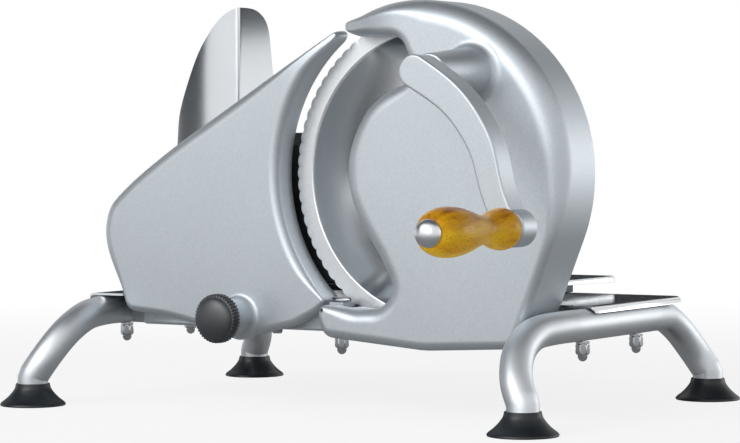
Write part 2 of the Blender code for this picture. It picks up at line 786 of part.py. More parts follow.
LOWER_HOOK = (
    (0.0565, 0.0660, 0.0090, (0.0060, 0.0060)),
    (0.0460, 0.0563, 0.0100, (0.0050, 0.0050)),
    (0.0330, 0.0552, 0.0, (0.0044, 0.0044)),
    (0.0126, 0.0580, 0.0030, (0.0020, 0.0020)),
    (0.0098, 0.0520, 0.0, (0.0026, 0.0026)),
    (0.0130, 0.0407, 0.0070, (0.0044, 0.0044)),
    (0.0740, 0.0358, 0.0600, (0.0050, 0.0050)),
)
HOUSING_FOOT = (0.1274, 0.0386, 0.0060, (FOOT_ROUND, FOOT_ROUND))
POCKET_FRONT = -0.0510
HOOK_FALL = 0.0150
HOOK_FALL_LENGTH = 0.0440
UPPER_HOLLOW_X = 0.0520
UPPER_HOLLOW_Z = 0.1950
LOWER_HOLLOW_X = 0.0240
LOWER_HOLLOW_Z = 0.0650
BOSS_WALL = 0.0050
SCREW_BOSS_R = 0.0048
CRANK_INNER_R = 0.0110
HOOK_SEAT_R = 0.0050
WINDOW_ROOM = 0.0023
SCREW_BORE_DEPTH = 0.0200
WINDOW_LENGTH = 0.0075
WINDOW_OVER_LUG = 0.0036


def drum_rounding(angle):
    """The drum's edge rounding at an angle as (inset, depth): slimmer and deeper towards the hook."""
    if angle > HOOK_START:
        share = (angle - HOOK_START) / (DRUM_END - HOOK_START)
        across = EDGE_ROUND + (TIP_INSET - EDGE_ROUND) * share
        deep = EDGE_ROUND + (HOOK_ROUND_DEPTH - EDGE_ROUND) * share
        return (across, deep)
    if angle < 0:
        edge = EDGE_ROUND + (FOOT_ROUND - EDGE_ROUND) * angle / DRUM_START
        return (edge, edge)
    return (EDGE_ROUND, EDGE_ROUND)


def with_drum(x, z, *rest):
    """Moves a point that was measured beside the real drum out or in with the drum's radius."""
    out = (x - MEASURED_DRUM[0]) * DRUM_SHARE
    up = (z - MEASURED_DRUM[1]) * DRUM_SHARE
    return (BLADE_X + out, BLADE_Z + up, *rest)


def housing_outline():
    """The housing's front view as (x, z, (inset, depth)), counterclockwise from the drum's foot."""
    count = 29
    drum = []
    for i in range(count):
        angle = DRUM_START + (DRUM_END - DRUM_START) * i / (count - 1)
        x = BLADE_X + HOUSING_R * cos(radians(angle))
        z = BLADE_Z + HOUSING_R * sin(radians(angle))
        drum.append((x, z, 0.0, drum_rounding(angle)))
    bulge = [(x, z, 0.0, (edge, edge)) for x, z, edge in BULGE]
    inner = [with_drum(*point) for point in (UPPER_TIP, *HOOK_UNDER, *bulge, *LOWER_HOOK, HOUSING_FOOT)]
    return filleted([*drum, *inner])


def clipped(outline, limit, low, high):
    """Cuts off the part of an outline that lies left of a limit, between two heights.

    The corners that the cut leaves have hardly any rounding, so they don't pass their neighbours.
    """
    made = []
    for here, after in zip(outline, outline[1:] + outline[:1]):
        in_zone = here[0] < limit and low < here[1] < high
        next_in_zone = after[0] < limit and low < after[1] < high
        if not in_zone:
            made.append(here)
        if in_zone != next_in_zone:
            share = (limit - here[0]) / (after[0] - here[0])
            made.append((limit, here[1] + (after[1] - here[1]) * share, (LEAST_ROUND, LEAST_ROUND)))
    return made


def inner_outline(outline, wall):
    """The hollow's front view: the outline moved in by the wall, without the two hook tips."""
    moved = inset([(x, z) for x, z, _ in outline], [wall] * len(outline))
    whole = [
        (x, z, (max(edge[0] - wall, LEAST_ROUND), max(edge[1] - wall, LEAST_ROUND)))
        for (x, z), (_, _, edge) in zip(moved, outline)
    ]
    upper_x, upper_z = with_drum(UPPER_HOLLOW_X, UPPER_HOLLOW_Z)
    lower_x, lower_z = with_drum(LOWER_HOLLOW_X, LOWER_HOLLOW_Z)
    top = BLADE_Z + HOUSING_R
    return clipped(clipped(whole, upper_x, upper_z, top), lower_x, 0.0, lower_z)


def bored_boss(name, shaft_r, wall, start, bottom, end, at):
    """A boss along Y with a blind bore for a shaft, open at its end."""
    bore = shaft_r + GAP
    outer = bore + wall
    profile = [(0, start), (outer, start), (outer, end), (bore, end), (bore, bottom), (0, bottom)]
    return turned(name, profile, "Y", at, 20)


def gear_housing():
    outline = housing_outline()
    body = pillow("gear_housing", outline, HOUSING_BACK, HOUSING_FRONT, root, SILVER, 4)
    hollow = pillow(
        "housing_hollow", inner_outline(outline, CAST_WALL), HOUSING_BACK + 0.01, INNER_FRONT, bands=2,
    )
    pocket = rod(
        "housing_blade_pocket", BLADE_R + RIM_CLEARANCE, POCKET_FRONT, HOUSING_BACK + 0.01, "Y",
        (BLADE_X, 0, BLADE_Z), 72,
    )
    window = block(
        "housing_lug_window",
        (HOOK_TIP_X - BEYOND, LUG_FRONT - WINDOW_ROOM, LUG_TOP - LUG_T - GAP),
        (LUG_RIGHT + WINDOW_LENGTH, HOUSING_BACK + BEYOND, LUG_TOP + WINDOW_OVER_LUG),
    )
    tip = tip_waste(
        "housing_tip_waste", with_drum(*UPPER_TIP[:2]), radians(193),
        HOOK_FALL_LENGTH, HOOK_FALL, HOUSING_FRONT, 0.0150,
    )
    cut(body, hollow, pocket, window, tip)
    deep = HOUSING_FRONT + 0.0015
    top = GEAR_FRONT - GAP
    axle = bored_boss("housing_axle_boss", AXLE_R, BOSS_WALL, deep, BLIND_Y, top, (BLADE_X, 0, BLADE_Z))
    at_idler = (IDLER_X, 0, IDLER_Z)
    idler = bored_boss("housing_idler_boss", IDLER_PIN_R, BOSS_WALL, deep, BLIND_Y, top, at_idler)
    screw = bored_boss(
        "housing_screw_boss", BOLT_R, SCREW_BOSS_R - BOLT_R - GAP, deep,
        HOUSING_BACK - SCREW_BORE_DEPTH, HOUSING_BACK,
        (SIDE_SCREW_X, 0, SIDE_SCREW_Z),
    )
    hook = (HOOK_BOLT_X, HOOK_BOLT_Y, 0)
    seat = rod("housing_hook_seat", HOOK_SEAT_R, HOOK_SEAT_Z - 0.002, HOOK_SEAT_Z + 0.008, "Z", hook)
    fillet = 0.0035
    flare = [
        (BOSS_BASE_R + fillet * (1 - sin(a)), HOUSING_FRONT - fillet * (1 - cos(a)))
        for a in (pi / 2 * i / 3 for i in range(4))
    ]
    profile = [
        (0, top),
        (CRANK_INNER_R, top),
        (CRANK_INNER_R, deep),
        (flare[0][0], deep),
        *flare,
        (BOSS_TIP_R + 0.0004, BOSS_TIP_Y + 0.0012),
        (BOSS_TIP_R - 0.0006, BOSS_TIP_Y),
        (0, BOSS_TIP_Y),
    ]
    at_crank = (CRANK_X, 0, CRANK_Z)
    crank_bore_r = CRANK_SHAFT_R + BUSH_WALL + 2 * GAP
    crank = turned("housing_crank_boss", profile, "Y", at_crank, 32)
    join(body, axle, idler, screw, seat, crank)
    cut(
        body,
        rod("housing_crank_bore", crank_bore_r, BOSS_TIP_Y - BEYOND, top + BEYOND, "Y", at_crank, 28),
        rod("housing_hook_face", HOOK_SEAT_R + GAP, HOOK_SEAT_Z - BEYOND, HOOK_SEAT_Z, "Z", hook),
        rod("housing_hook_bore", BOLT_R + GAP, HOOK_SEAT_Z - BEYOND, LUG_TOP + BEYOND, "Z", hook),
    )


gear_housing()
headed(
    "housing_bolt", "Z", (HOOK_BOLT_X, HOOK_BOLT_Y, LUG_TOP + GAP),
    BOLT_HEAD_R, BOLT_HEAD_H, BOLT_R, LUG_TOP - HOOK_SEAT_Z + NUT_HEX_H - GAP, 1,
)
cap_nut("housing_cap_nut", "Z", (HOOK_BOLT_X, HOOK_BOLT_Y, HOOK_SEAT_Z - GAP), -1)


# Blade with its hub, axle and screw

BORE_R = 0.0103
DISH_FLAT_R = 0.0300
DISH_RINGS = (0.0600, 0.0300)


def dish(radius):
    """How far the blade's middle stands forward at a radius."""
    reach = (BLADE_R - BEVEL_WIDTH - radius) / (BLADE_R - BEVEL_WIDTH - DISH_FLAT_R)
    return BLADE_DISH * sin(pi / 2 * max(0.0, min(1.0, reach)))


def round_blade():
    count = BLADE_LOBES * 2
    bevel_r = BLADE_R - BEVEL_WIDTH

    def ring(radius, y, depth=0.0):
        made = []
        for i in range(count):
            a = 2 * pi * i / count
            r = radius - depth * (0.5 - 0.5 * cos(BLADE_LOBES * a))
            made.append((BLADE_X + r * cos(a), y, BLADE_Z + r * sin(a)))
        return made

    rings = [ring(r, BLADE_Y - dish(r)) for r in reversed(DISH_RINGS)]
    rings.append(ring(bevel_r, BLADE_Y))
    rings.append(ring(BLADE_R, BLADE_Y, LOBE_DEPTH))
    rings.append(ring(BLADE_R, BLADE_Y - BLADE_EDGE_T, LOBE_DEPTH))
    rings.append(ring(bevel_r, BLADE_Y - BLADE_T - 0.0004))
    rings += [ring(r, BLADE_Y - BLADE_T - dish(r)) for r in DISH_RINGS]
    body = lofted("round_blade", rings, blade_pivot, BRUSHED)
    bore = rod("blade_bore", BORE_R, -0.06, -0.04, "Y", (BLADE_X, 0, BLADE_Z), 32)
    cut(body, bore)


def tooth_phase(known_phase, known_teeth, teeth, direction):
    """The angle of a tooth of the next gear, so that it meshes with a known one in a direction."""
    offset = (known_phase - direction) % (2 * pi / known_teeth)
    return direction + pi - offset * known_teeth / teeth + pi / teeth


def gear_outline(x, z, teeth, phase):
    """Involute teeth round a centre."""
    pitch_r = MODULE * teeth / 2
    base_r = pitch_r * cos(PRESSURE_ANGLE)
    tip_r = pitch_r + MODULE
    root_r = pitch_r - 1.25 * MODULE
    half = (pi * MODULE / 2 - BACKLASH) / 2 / pitch_r + tan(PRESSURE_ANGLE) - PRESSURE_ANGLE
    flank = []
    for i in range(3):
        r = max(base_r, root_r) + (tip_r - max(base_r, root_r)) * i / 2
        turn = acos(min(1.0, base_r / r))
        flank.append((r, half - (tan(turn) - turn)))
    points = []
    for tooth in range(teeth):
        middle = phase + 2 * pi * tooth / teeth
        side = [(root_r, half + 0.01)] + flank
        for r, a in side:
            points.append((x + r * cos(middle - a), z + r * sin(middle - a)))
        for r, a in reversed(side):
            points.append((x + r * cos(middle + a), z + r * sin(middle + a)))
    return points


CRANK_TO_IDLER = atan2(IDLER_Z - CRANK_Z, IDLER_X - CRANK_X)
IDLER_TO_BLADE = atan2(BLADE_Z - IDLER_Z, BLADE_X - IDLER_X)
IDLER_PHASE = tooth_phase(0.0, CRANK_TEETH, IDLER_TEETH, CRANK_TO_IDLER)
BLADE_PHASE = tooth_phase(IDLER_PHASE, IDLER_TEETH, BLADE_TEETH, IDLER_TO_BLADE)
HEAD_T = 0.0012
AXLE_HEAD_R = 0.0055
HUB_NECK = 0.0030


def blade_hub():
    outline = gear_outline(BLADE_X, BLADE_Z, BLADE_TEETH, BLADE_PHASE)
    body = plate("blade_hub", outline, "Y", FLANGE_BACK - HUB_FLANGE_T / 2, GEAR_FRONT, blade_pivot, STEEL)
    at = (BLADE_X, 0, BLADE_Z)
    flange = rod("hub_flange", HUB_FLANGE_R, FLANGE_BACK - HUB_FLANGE_T, FLANGE_BACK, "Y", at, 36)
    spigot = rod("hub_spigot", SPIGOT_R, FLANGE_BACK - 0.0005, FLANGE_BACK + BLADE_T, "Y", at, 24)
    join(body, flange, spigot)
    bore = rod("hub_bore", AXLE_R + GAP, -0.08, -0.04, "Y", at, 20)
    counter = rod("hub_counterbore", AXLE_HEAD_R + GAP, GEAR_BACK - HUB_NECK, -0.04, "Y", at, 20)
    cut(body, bore, counter)


def blade_axle():
    head = GEAR_BACK - HUB_NECK + GAP
    tip = BLIND_Y + GAP
    profile = [
        (0, head + HEAD_T), (AXLE_HEAD_R, head + HEAD_T), (AXLE_HEAD_R, head),
        (AXLE_R, head), (AXLE_R, tip), (0, tip),
    ]
    turned("blade_axle", profile, "Y", (BLADE_X, 0, BLADE_Z), 16, root, STEEL)


def blade_screw():
    under = BLADE_HUB_Y + GAP
    shank = GEAR_BACK - HUB_NECK + GAP + HEAD_T + GAP
    face = under + BLADE_SCREW_H
    profile = [
        (0, face), (BLADE_SCREW_R * 0.8, face),
        (BLADE_SCREW_R, under + BLADE_SCREW_H * 0.4), (BLADE_SCREW_R, under),
        (AXLE_HEAD_R, under), (AXLE_HEAD_R, shank), (0, shank),
    ]
    body = turned("blade_screw", profile, "Y", (BLADE_X, 0, BLADE_Z), 32, blade_pivot, STEEL)
    slot = block(
        "blade_screw_slot",
        (BLADE_X - 0.011, face - 0.0012, BLADE_Z - 0.001),
        (BLADE_X + 0.011, face + 0.01, BLADE_Z + 0.001),
    )
    cut(body, slot)


def idler_gear():
    outline = gear_outline(IDLER_X, IDLER_Z, IDLER_TEETH, IDLER_PHASE)
    body = plate("idler_gear", outline, "Y", GEAR_BACK, GEAR_FRONT, idler_pivot, NYLON)
    cut(body, rod("idler_bore", IDLER_PIN_R + GAP, -0.08, -0.04, "Y", (IDLER_X, 0, IDLER_Z)))


def idler_pin():
    head = GEAR_BACK + GAP
    tip = BLIND_Y + GAP
    profile = [
        (0, head + HEAD_T), (PIN_HEAD_R, head + HEAD_T), (PIN_HEAD_R, head),
        (IDLER_PIN_R, head), (IDLER_PIN_R, tip), (0, tip),
    ]
    turned("idler_pin", profile, "Y", (IDLER_X, 0, IDLER_Z), 16, root, STEEL)


round_blade()
blade_hub()
blade_axle()
blade_screw()
idler_gear()
idler_pin()


# Crank: gear, shaft, bushes, arm, pin, wooden grip and cap

ARM_BORE_END = ARM_FRONT + 0.0045
PIN_SEAT = ARM_BACK - 0.0030
SHAFT_BACK = GEAR_BACK + 0.0022
RING_R = 0.0080
ARM_PATH = (
    (0.0000, 0.0000),
    (0.0150, -0.0090),
    (0.0232, -0.0156),
    (0.0298, -0.0236),
    (0.0347, -0.0314),
    (0.0387, -0.0376),
    (0.0411, -0.0503),
    (0.0443, -0.0615),
    (GRIP_X, -GRIP_DROP),
)
ARM_WIDTH = 0.0150
ARM_WIDTH_END = 0.0124
ARM_ROUND = 0.0014
ARM_BACK_EDGE = 0.0005
CAP_EDGE = 0.0008
GRIP_PROFILE = (
    (0.0090, 0.0000),
    (0.0101, 0.0050),
    (0.0086, 0.0135),
    (0.0073, 0.0180),
    (0.0068, 0.0215),
    (0.0080, 0.0310),
    (0.0095, 0.0378),
    (0.0109, 0.0455),
    (0.0118, 0.0520),
    (0.0116, 0.0600),
    (0.0109, 0.0640),
    (0.0098, 0.0675),
    (0.0082, 0.0705),
    (0.0070, 0.0720),
)


def crank_gear():
    outline = gear_outline(CRANK_X, CRANK_Z, CRANK_TEETH, 0.0)
    body = plate("crank_gear", outline, "Y", GEAR_BACK, GEAR_FRONT, crank_pivot, STEEL)
    cut(body, rod("crank_gear_bore", CRANK_SHAFT_R + GAP, -0.08, -0.04, "Y", (CRANK_X, 0, CRANK_Z)))


def crank_arm():
    last = len(ARM_PATH) - 1
    widths = [ARM_WIDTH + (ARM_WIDTH_END - ARM_WIDTH) * i / last for i in range(last + 1)]
    path = spline([(x, z, w) for (x, z), w in zip(ARM_PATH, widths)], 2)
    left, right = [], []
    for before, here, after in zip(path[:1] + path[:-1], path, path[1:] + path[-1:]):
        run = Vector((after[0] - before[0], after[1] - before[1])).normalized()
        side = Vector((-run.y, run.x)) * here[2] / 2
        at = Vector(here[:2])
        left.append(tuple(at + side))
        right.append(tuple(at - side))
    outline = [(CRANK_X + x, CRANK_Z + z) for x, z in right + left[::-1]]
    slab = [(x, z, (ARM_ROUND, ARM_ROUND)) for x, z in outline]
    body = pillow("crank_arm", slab, ARM_BACK, ARM_FRONT, crank_pivot, SILVER, 2, ARM_ROUND)
    ends = []
    for name, x, z, radius in (
        ("arm_hub", CRANK_X, CRANK_Z, ARM_HUB_R),
        ("arm_end", GRIP_AX, GRIP_AZ, ARM_END_R),
    ):
        soft = ARM_ROUND / 2
        turns = [pi / 2 * i / 4 for i in range(5)]
        curve = [(radius - soft * (1 - cos(a)), ARM_FRONT + soft * (1 - sin(a))) for a in turns]
        back = [(0, ARM_BACK), (radius - ARM_BACK_EDGE, ARM_BACK), (radius, ARM_BACK - ARM_BACK_EDGE)]
        profile = [*back, *curve, (0, ARM_FRONT)]
        ends.append(turned(name, profile, "Y", (x, 0, z), 24))
    join(body, *ends)
    at_crank, at_grip = (CRANK_X, 0, CRANK_Z), (GRIP_AX, 0, GRIP_AZ)
    shaft = rod("arm_shaft_bore", CRANK_SHAFT_R + GAP, ARM_BORE_END, ARM_BACK + BEYOND, "Y", at_crank)
    pin = rod("arm_pin_bore", GRIP_PIN_R + GAP, ARM_FRONT - BEYOND, PIN_SEAT + GAP, "Y", at_grip)
    cut(body, shaft, pin)


def crank_bush(name, start):
    inner = CRANK_SHAFT_R + GAP
    profile = [
        (inner, start), (inner + BUSH_WALL, start),
        (inner + BUSH_WALL, start + BUSH_LENGTH), (inner, start + BUSH_LENGTH),
    ]
    turned(name, profile, "Y", (CRANK_X, 0, CRANK_Z), 16, root, BRONZE, ring=True)


def retaining_ring():
    start = GEAR_BACK + GAP
    groove = CRANK_SHAFT_R + GAP
    profile = [(groove, start), (RING_R, start), (RING_R, start + 0.001), (groove, start + 0.001)]
    turned("gear_retaining_ring", profile, "Y", (CRANK_X, 0, CRANK_Z), 16, crank_pivot, STEEL, ring=True)


def grip():
    at = (GRIP_AX, 0, GRIP_AZ)
    scale = GRIP_LENGTH / GRIP_PROFILE[-1][1]
    outside = [(r, GRIP_BACK - h * scale) for r, h in GRIP_PROFILE]
    bore = GRIP_PIN_R + GAP
    profile = [(bore, GRIP_BACK), *outside, (bore, GRIP_TIP)]
    turned("wooden_grip", profile, "Y", at, 24, grip_pivot, WOOD, ring=True)
    pin_tip = GRIP_TIP - GAP - CAP_H * 0.45
    rod("grip_pin", GRIP_PIN_R, pin_tip, PIN_SEAT, "Y", at, 20, crank_pivot, STEEL)
    face = GRIP_TIP - GAP
    dome = [
        (CAP_R * cos(a), face - CAP_EDGE - (CAP_H - CAP_EDGE) * sin(a))
        for a in (pi / 2 * i / 6 for i in range(6))
    ]
    depth = pin_tip - GAP
    cap = [(bore, face), (CAP_R, face), *dome, (0, face - CAP_H), (0, depth), (bore, depth)]
    turned("grip_cap", cap, "Y", at, 20, crank_pivot, CHROME, ring=True)


crank_gear()
rod(
    "crank_shaft", CRANK_SHAFT_R, ARM_BORE_END + GAP, SHAFT_BACK, "Y",
    (CRANK_X, 0, CRANK_Z), 32, crank_pivot, STEEL,
)
retaining_ring()
crank_bush("crank_bush_front", BOSS_TIP_Y)
crank_bush("crank_bush_rear", GEAR_FRONT - GAP - BUSH_LENGTH)
crank_arm()
grip()


# Stop plate: a die-cast slab beside the blade, set by the knob's spindle and led by two pins

STOP_EDGE = (
    (0.0140, 0.2000, 0.0015, 0.0014),
    (0.0100, 0.2000, 0.0, 0.0018),
    (-0.0098, 0.1890, 0.0, 0.0034),
    (-0.0355, 0.1745, 0.0, 0.0070),
    (-0.0616, 0.1592, 0.0, 0.0080),
    (-0.0885, 0.1435, 0.0, 0.0080),
    (-0.1092, 0.1302, 0.0, 0.0080),
    (-0.1233, 0.1200, 0.0, 0.0080),
    (-0.1353, 0.1092, 0.0, 0.0080),
    (-0.1395, 0.0986, 0.0, 0.0080),
    (-0.1396, 0.0885, 0.0, 0.0080),
    (-0.1362, 0.0774, 0.0, 0.0080),
    (-0.1275, 0.0610, 0.0, 0.0050),
)
STOP_FOOT = (
    (-0.1225, 0.0500, 0.0080, 0.0040),
    (-0.0954, 0.0476, 0.0, 0.0040),
    (-0.0831, 0.0454, 0.0, 0.0040),
    (-0.0520, 0.0386, 0.0, 0.0040),
    (-0.0357, 0.0397, 0.0, 0.0040),
    (-0.0113, 0.0454, 0.0, 0.0040),
    (0.0020, 0.0528, 0.0, 0.0034),
    (0.0080, 0.0588, 0.0020, 0.0016),
)
STOP_FALL = 0.0065
STOP_FALL_LENGTH = 0.0400
STOP_WALL = 0.0030
STOP_SKIN = 0.0025
ARC_FIRST = 228
ARC_LAST = 128
RIM_STRETCH = (-0.1396, -0.0220)
FOOT_STRETCH = (-0.0357, 0.0020)
STOP_FLOOR = 0.0030
STOP_HOLLOW_Z = 0.1840


def with_arc(x, z, still, carried):
    """Moves a point with the drum: not at all left of one place, fully right of the other."""
    share = max(0.0, min(1.0, (x - still) / (carried - still)))
    moved_x, moved_z = with_drum(x, z)
    return x + (moved_x - x) * share, z + (moved_z - z) * share


def stop_outline():
    """The stop plate's front view as (x, z, (inset, depth)), counterclockwise from its lower tip."""
    reach = BLADE_R + STOP_GAP
    count = 25
    concave = []
    for i in range(count):
        angle = ARC_FIRST + (ARC_LAST - ARC_FIRST) * i / (count - 1)
        near_tip = min(i, count - 1 - i) / (count - 1)
        edge = min(STOP_ARC_ROUND, 0.0014 + 0.0250 * near_tip)
        x = BLADE_X + reach * cos(radians(angle))
        z = BLADE_Z + reach * sin(radians(angle))
        concave.append((x, z, 0.0, (edge, edge)))
    rim = [
        (*with_arc(x, z, *RIM_STRETCH), radius, (edge, STOP_ROUND_DEPTH))
        for x, z, radius, edge in STOP_EDGE
    ]
    foot = [(*with_arc(x, z, *FOOT_STRETCH), radius, (edge, edge)) for x, z, radius, edge in STOP_FOOT]
    return filleted([*concave, *rim, *foot])


def stop_plate():
    outline = stop_outline()
    body = pillow("stop_plate", outline, STOP_FACE, STOP_FRONT, stop_slide, SILVER, 4)
    left = min(x for x, _, _ in outline) - BEYOND
    right = max(x for x, _, _ in outline) + BEYOND
    step = block("stop_step", (left, STEP_FRONT - GAP, 0.0), (right, STOP_FACE + BEYOND, STOP_STEP_Z))
    moved = inset([(x, z) for x, z, _ in outline], [STOP_WALL] * len(outline))
    floor = STOP_STEP_Z - STOP_FLOOR
    top = with_drum(0, STOP_HOLLOW_Z)[1]
    core = [point for point in moved if STOP_STEP_Z + 0.005 < point[1] < top]
    low_left = min((point for point in core if point[0] < -0.1), key=lambda point: point[1])
    low_right = min((point for point in core if point[0] > -0.1), key=lambda point: point[1])
    start = core.index(low_right)
    core = core[start:] + core[:start]
    core = [(low_right[0] - 0.004, floor)] + core + [(low_left[0] + 0.006, floor)]
    hollow = plate("stop_hollow", core, "Y", STOP_FRONT + STOP_WALL + 0.0020, STOP_FACE - STOP_SKIN)
    neck = 0.0020
    boss_profile = [
        (0, STOP_FRONT + 0.004),
        (KNOB_BOSS_R + neck, STOP_FRONT + 0.004),
        (KNOB_BOSS_R + neck, STOP_FRONT),
        (KNOB_BOSS_R + neck * 0.3, STOP_FRONT - neck * 0.4),
        (KNOB_BOSS_R, STOP_FRONT - neck),
        (KNOB_BOSS_R, STOP_FRONT - KNOB_BOSS_L + 0.0008),
        (KNOB_BOSS_R - 0.0008, STOP_FRONT - KNOB_BOSS_L),
        (0, STOP_FRONT - KNOB_BOSS_L),
    ]
    boss = turned("stop_boss", boss_profile, "Y", (KNOB_X, 0, KNOB_Z), 28)
    tip = tip_waste(
        "stop_tip_waste", with_drum(*STOP_EDGE[0][:2]), radians(30),
        STOP_FALL_LENGTH, STOP_FALL, STOP_FRONT, 0.0300,
    )
    cut(body, step, hollow, tip)
    join(body, boss)
    pins = [
        rod(f"stop_pin_bore_{i}", GUIDE_R + GAP, STOP_FRONT + STOP_WALL, -0.04, "Y", (x, 0, GUIDE_Z))
        for i, x in enumerate(GUIDE_XS)
    ]
    spindle_ends = (KNOB_BACK - BEYOND, STOP_FACE + BEYOND)
    spindle = rod("stop_spindle_bore", SPINDLE_R + GAP, *spindle_ends, "Y", (KNOB_X, 0, KNOB_Z))
    cut(body, spindle, *pins)


def adjusting_knob():
    count = KNOB_RIBS * 2

    def ring(radius, y, depth=0.0):
        made = []
        for i in range(count):
            a = 2 * pi * i / count
            r = radius - depth * (0.5 - 0.5 * cos(KNOB_RIBS * a))
            made.append((KNOB_X + r * cos(a), y, KNOB_Z + r * sin(a)))
        return made

    rib = 0.0005
    rings = [
        ring(KNOB_R - 0.0022, KNOB_BACK),
        ring(KNOB_R - 0.0006, KNOB_BACK - 0.0003, rib),
        ring(KNOB_R, KNOB_BACK - 0.0010, rib),
        ring(KNOB_R, KNOB_FRONT + 0.0008, rib),
        ring(KNOB_R - 0.0006, KNOB_FRONT, rib),
    ]
    for i in range(3):
        turn = pi / 2 * i / 3
        rings.append(ring((KNOB_R - 0.0012) * cos(turn), KNOB_FRONT - 0.0004 - KNOB_DOME * 0.9 * sin(turn)))
    body = lofted("adjusting_knob", rings, knob_pivot, PLASTIC)
    bore_ends = (KNOB_FRONT + 0.0010, KNOB_BACK + BEYOND)
    cut(body, rod("knob_bore", SPINDLE_R + GAP, *bore_ends, "Y", (KNOB_X, 0, KNOB_Z)))


stop_plate()
adjusting_knob()
rod(
    "adjusting_spindle", SPINDLE_R, KNOB_FRONT + 0.0010 + GAP, BEAM_BACK - 0.0020, "Y",
    (KNOB_X, 0, KNOB_Z), 32, knob_pivot, STEEL,
)
for pin_x, pin_side in zip(GUIDE_XS, ("left", "right")):
    rod(
        f"guide_pin_{pin_side}", GUIDE_R, STOP_FRONT + STOP_WALL + GAP, BEAM_BACK - 0.0010, "Y",
        (pin_x, 0, GUIDE_Z), 32, stop_slide, STEEL,
    )


# Carriage: a folded tray on two hooked shoes and two glides

SHOE_TOP = CARRIAGE_UNDER - GAP
SHOE_FLOOR = PLATE_TOP + GAP
SHOE_FRONT = CARRIAGE_FRONT + PLATE_T + 2 * GAP
SHOE_BACK = -0.0206
HOOK_BACK = -0.0240
GLIDE_FRONT = 0.0560
LIP_TAPER_Y = 0.0170
FLANGE_WIDTH = 0.0140


def carriage_plate():
    bottom = CARRIAGE_TOP - CARRIAGE_LIP
    body = block(
        "carriage_plate",
        (CARRIAGE_LEFT, CARRIAGE_FRONT, bottom),
        (CARRIAGE_RIGHT, CARRIAGE_BACK, CARRIAGE_TOP),
        carriage_slide, STEEL,
    )
    bevel = body.modifiers.new("corners", "BEVEL")
    bevel.width = 0.0010
    bevel.segments = 3
    bevel.limit_method = "ANGLE"
    hollow = block(
        "carriage_hollow",
        (CARRIAGE_LEFT + PLATE_T, CARRIAGE_FRONT + PLATE_T, bottom - 0.01),
        (CARRIAGE_RIGHT - PLATE_T, CARRIAGE_BACK - PLATE_T, CARRIAGE_UNDER),
    )
    under = CARRIAGE_UNDER - GAP
    taper_front = CARRIAGE_FRONT + 2 * PLATE_T
    taper_back = CARRIAGE_BACK - 2 * PLATE_T
    taper = [
        (taper_front, under),
        (taper_front, bottom - 0.01),
        (taper_back, bottom - 0.01),
        (taper_back, bottom),
        (LIP_TAPER_Y, under),
    ]
    waste = plate("carriage_lip_waste", taper, "X", CARRIAGE_LEFT - 0.01, CARRIAGE_RIGHT + 0.01)
    cut(body, hollow, waste, *rivet_holes("carriage"))


def rivet_holes(name):
    x = GUARD_X - GUARD_T - FLANGE_WIDTH * 0.55
    return [
        rod(f"{name}_rivet_hole_{i}", RIVET_R + GAP, -0.01, 0.01, "Z", (x, y, CARRIAGE_TOP))
        for i, y in enumerate(RIVET_YS)
    ]


def front_shoe(name, x):
    left = x - SHOE_LENGTH / 2
    right = x + SHOE_LENGTH / 2
    edge = PLATE_FRONT - GAP
    lip_top = PLATE_TOP - PLATE_T - GAP
    section = [
        (SHOE_FRONT, SHOE_TOP), (SHOE_FRONT, lip_top - SHOE_WRAP), (HOOK_BACK, lip_top - SHOE_WRAP),
        (HOOK_BACK, lip_top), (edge, lip_top), (edge, SHOE_FLOOR),
        (SHOE_BACK, SHOE_FLOOR), (SHOE_BACK, SHOE_TOP),
    ]
    plate(name, section, "X", left, right, carriage_slide, PLASTIC)


def rear_glide(name, x):
    block(
        name, (x - SHOE_LENGTH / 2, GLIDE_FRONT, SHOE_FLOOR), (x + SHOE_LENGTH / 2, PLATE_BACK, SHOE_TOP),
        carriage_slide, PLASTIC, 0.0005,
    )


carriage_plate()
for shoe_x, glide_x, shoe_side in zip(FRONT_SHOE_XS, REAR_SHOE_XS, ("left", "right")):
    front_shoe(f"front_slide_shoe_{shoe_side}", shoe_x)
    rear_glide(f"rear_glide_{shoe_side}", glide_x)


# Thumb guard: one bent sheet with a front panel, a side panel and a riveted foot

GUARD_FRONT_PANEL = (
    (-0.1110, 0.0600), (-0.1043, 0.1414), (-0.1022, 0.1608), (-0.0918, 0.1883),
    (-0.0840, 0.2010), (-0.0783, 0.2080), (-0.0716, 0.2137), (-0.0637, 0.2165),
)
GUARD_SIDE_PANEL = (
    (-0.0340, 0.2165), (-0.0203, 0.2160), (-0.0104, 0.2107), (-0.0074, 0.2052), (-0.0055, 0.1942),
    (-0.0036, 0.1820), (0.0020, 0.1500), (0.0100, 0.1250), (0.0200, 0.1100), (0.0380, 0.0960),
    (0.0600, 0.0850), (0.0850, 0.0810), (0.1000, 0.0800),
)
GUARD_BEND = 0.0025


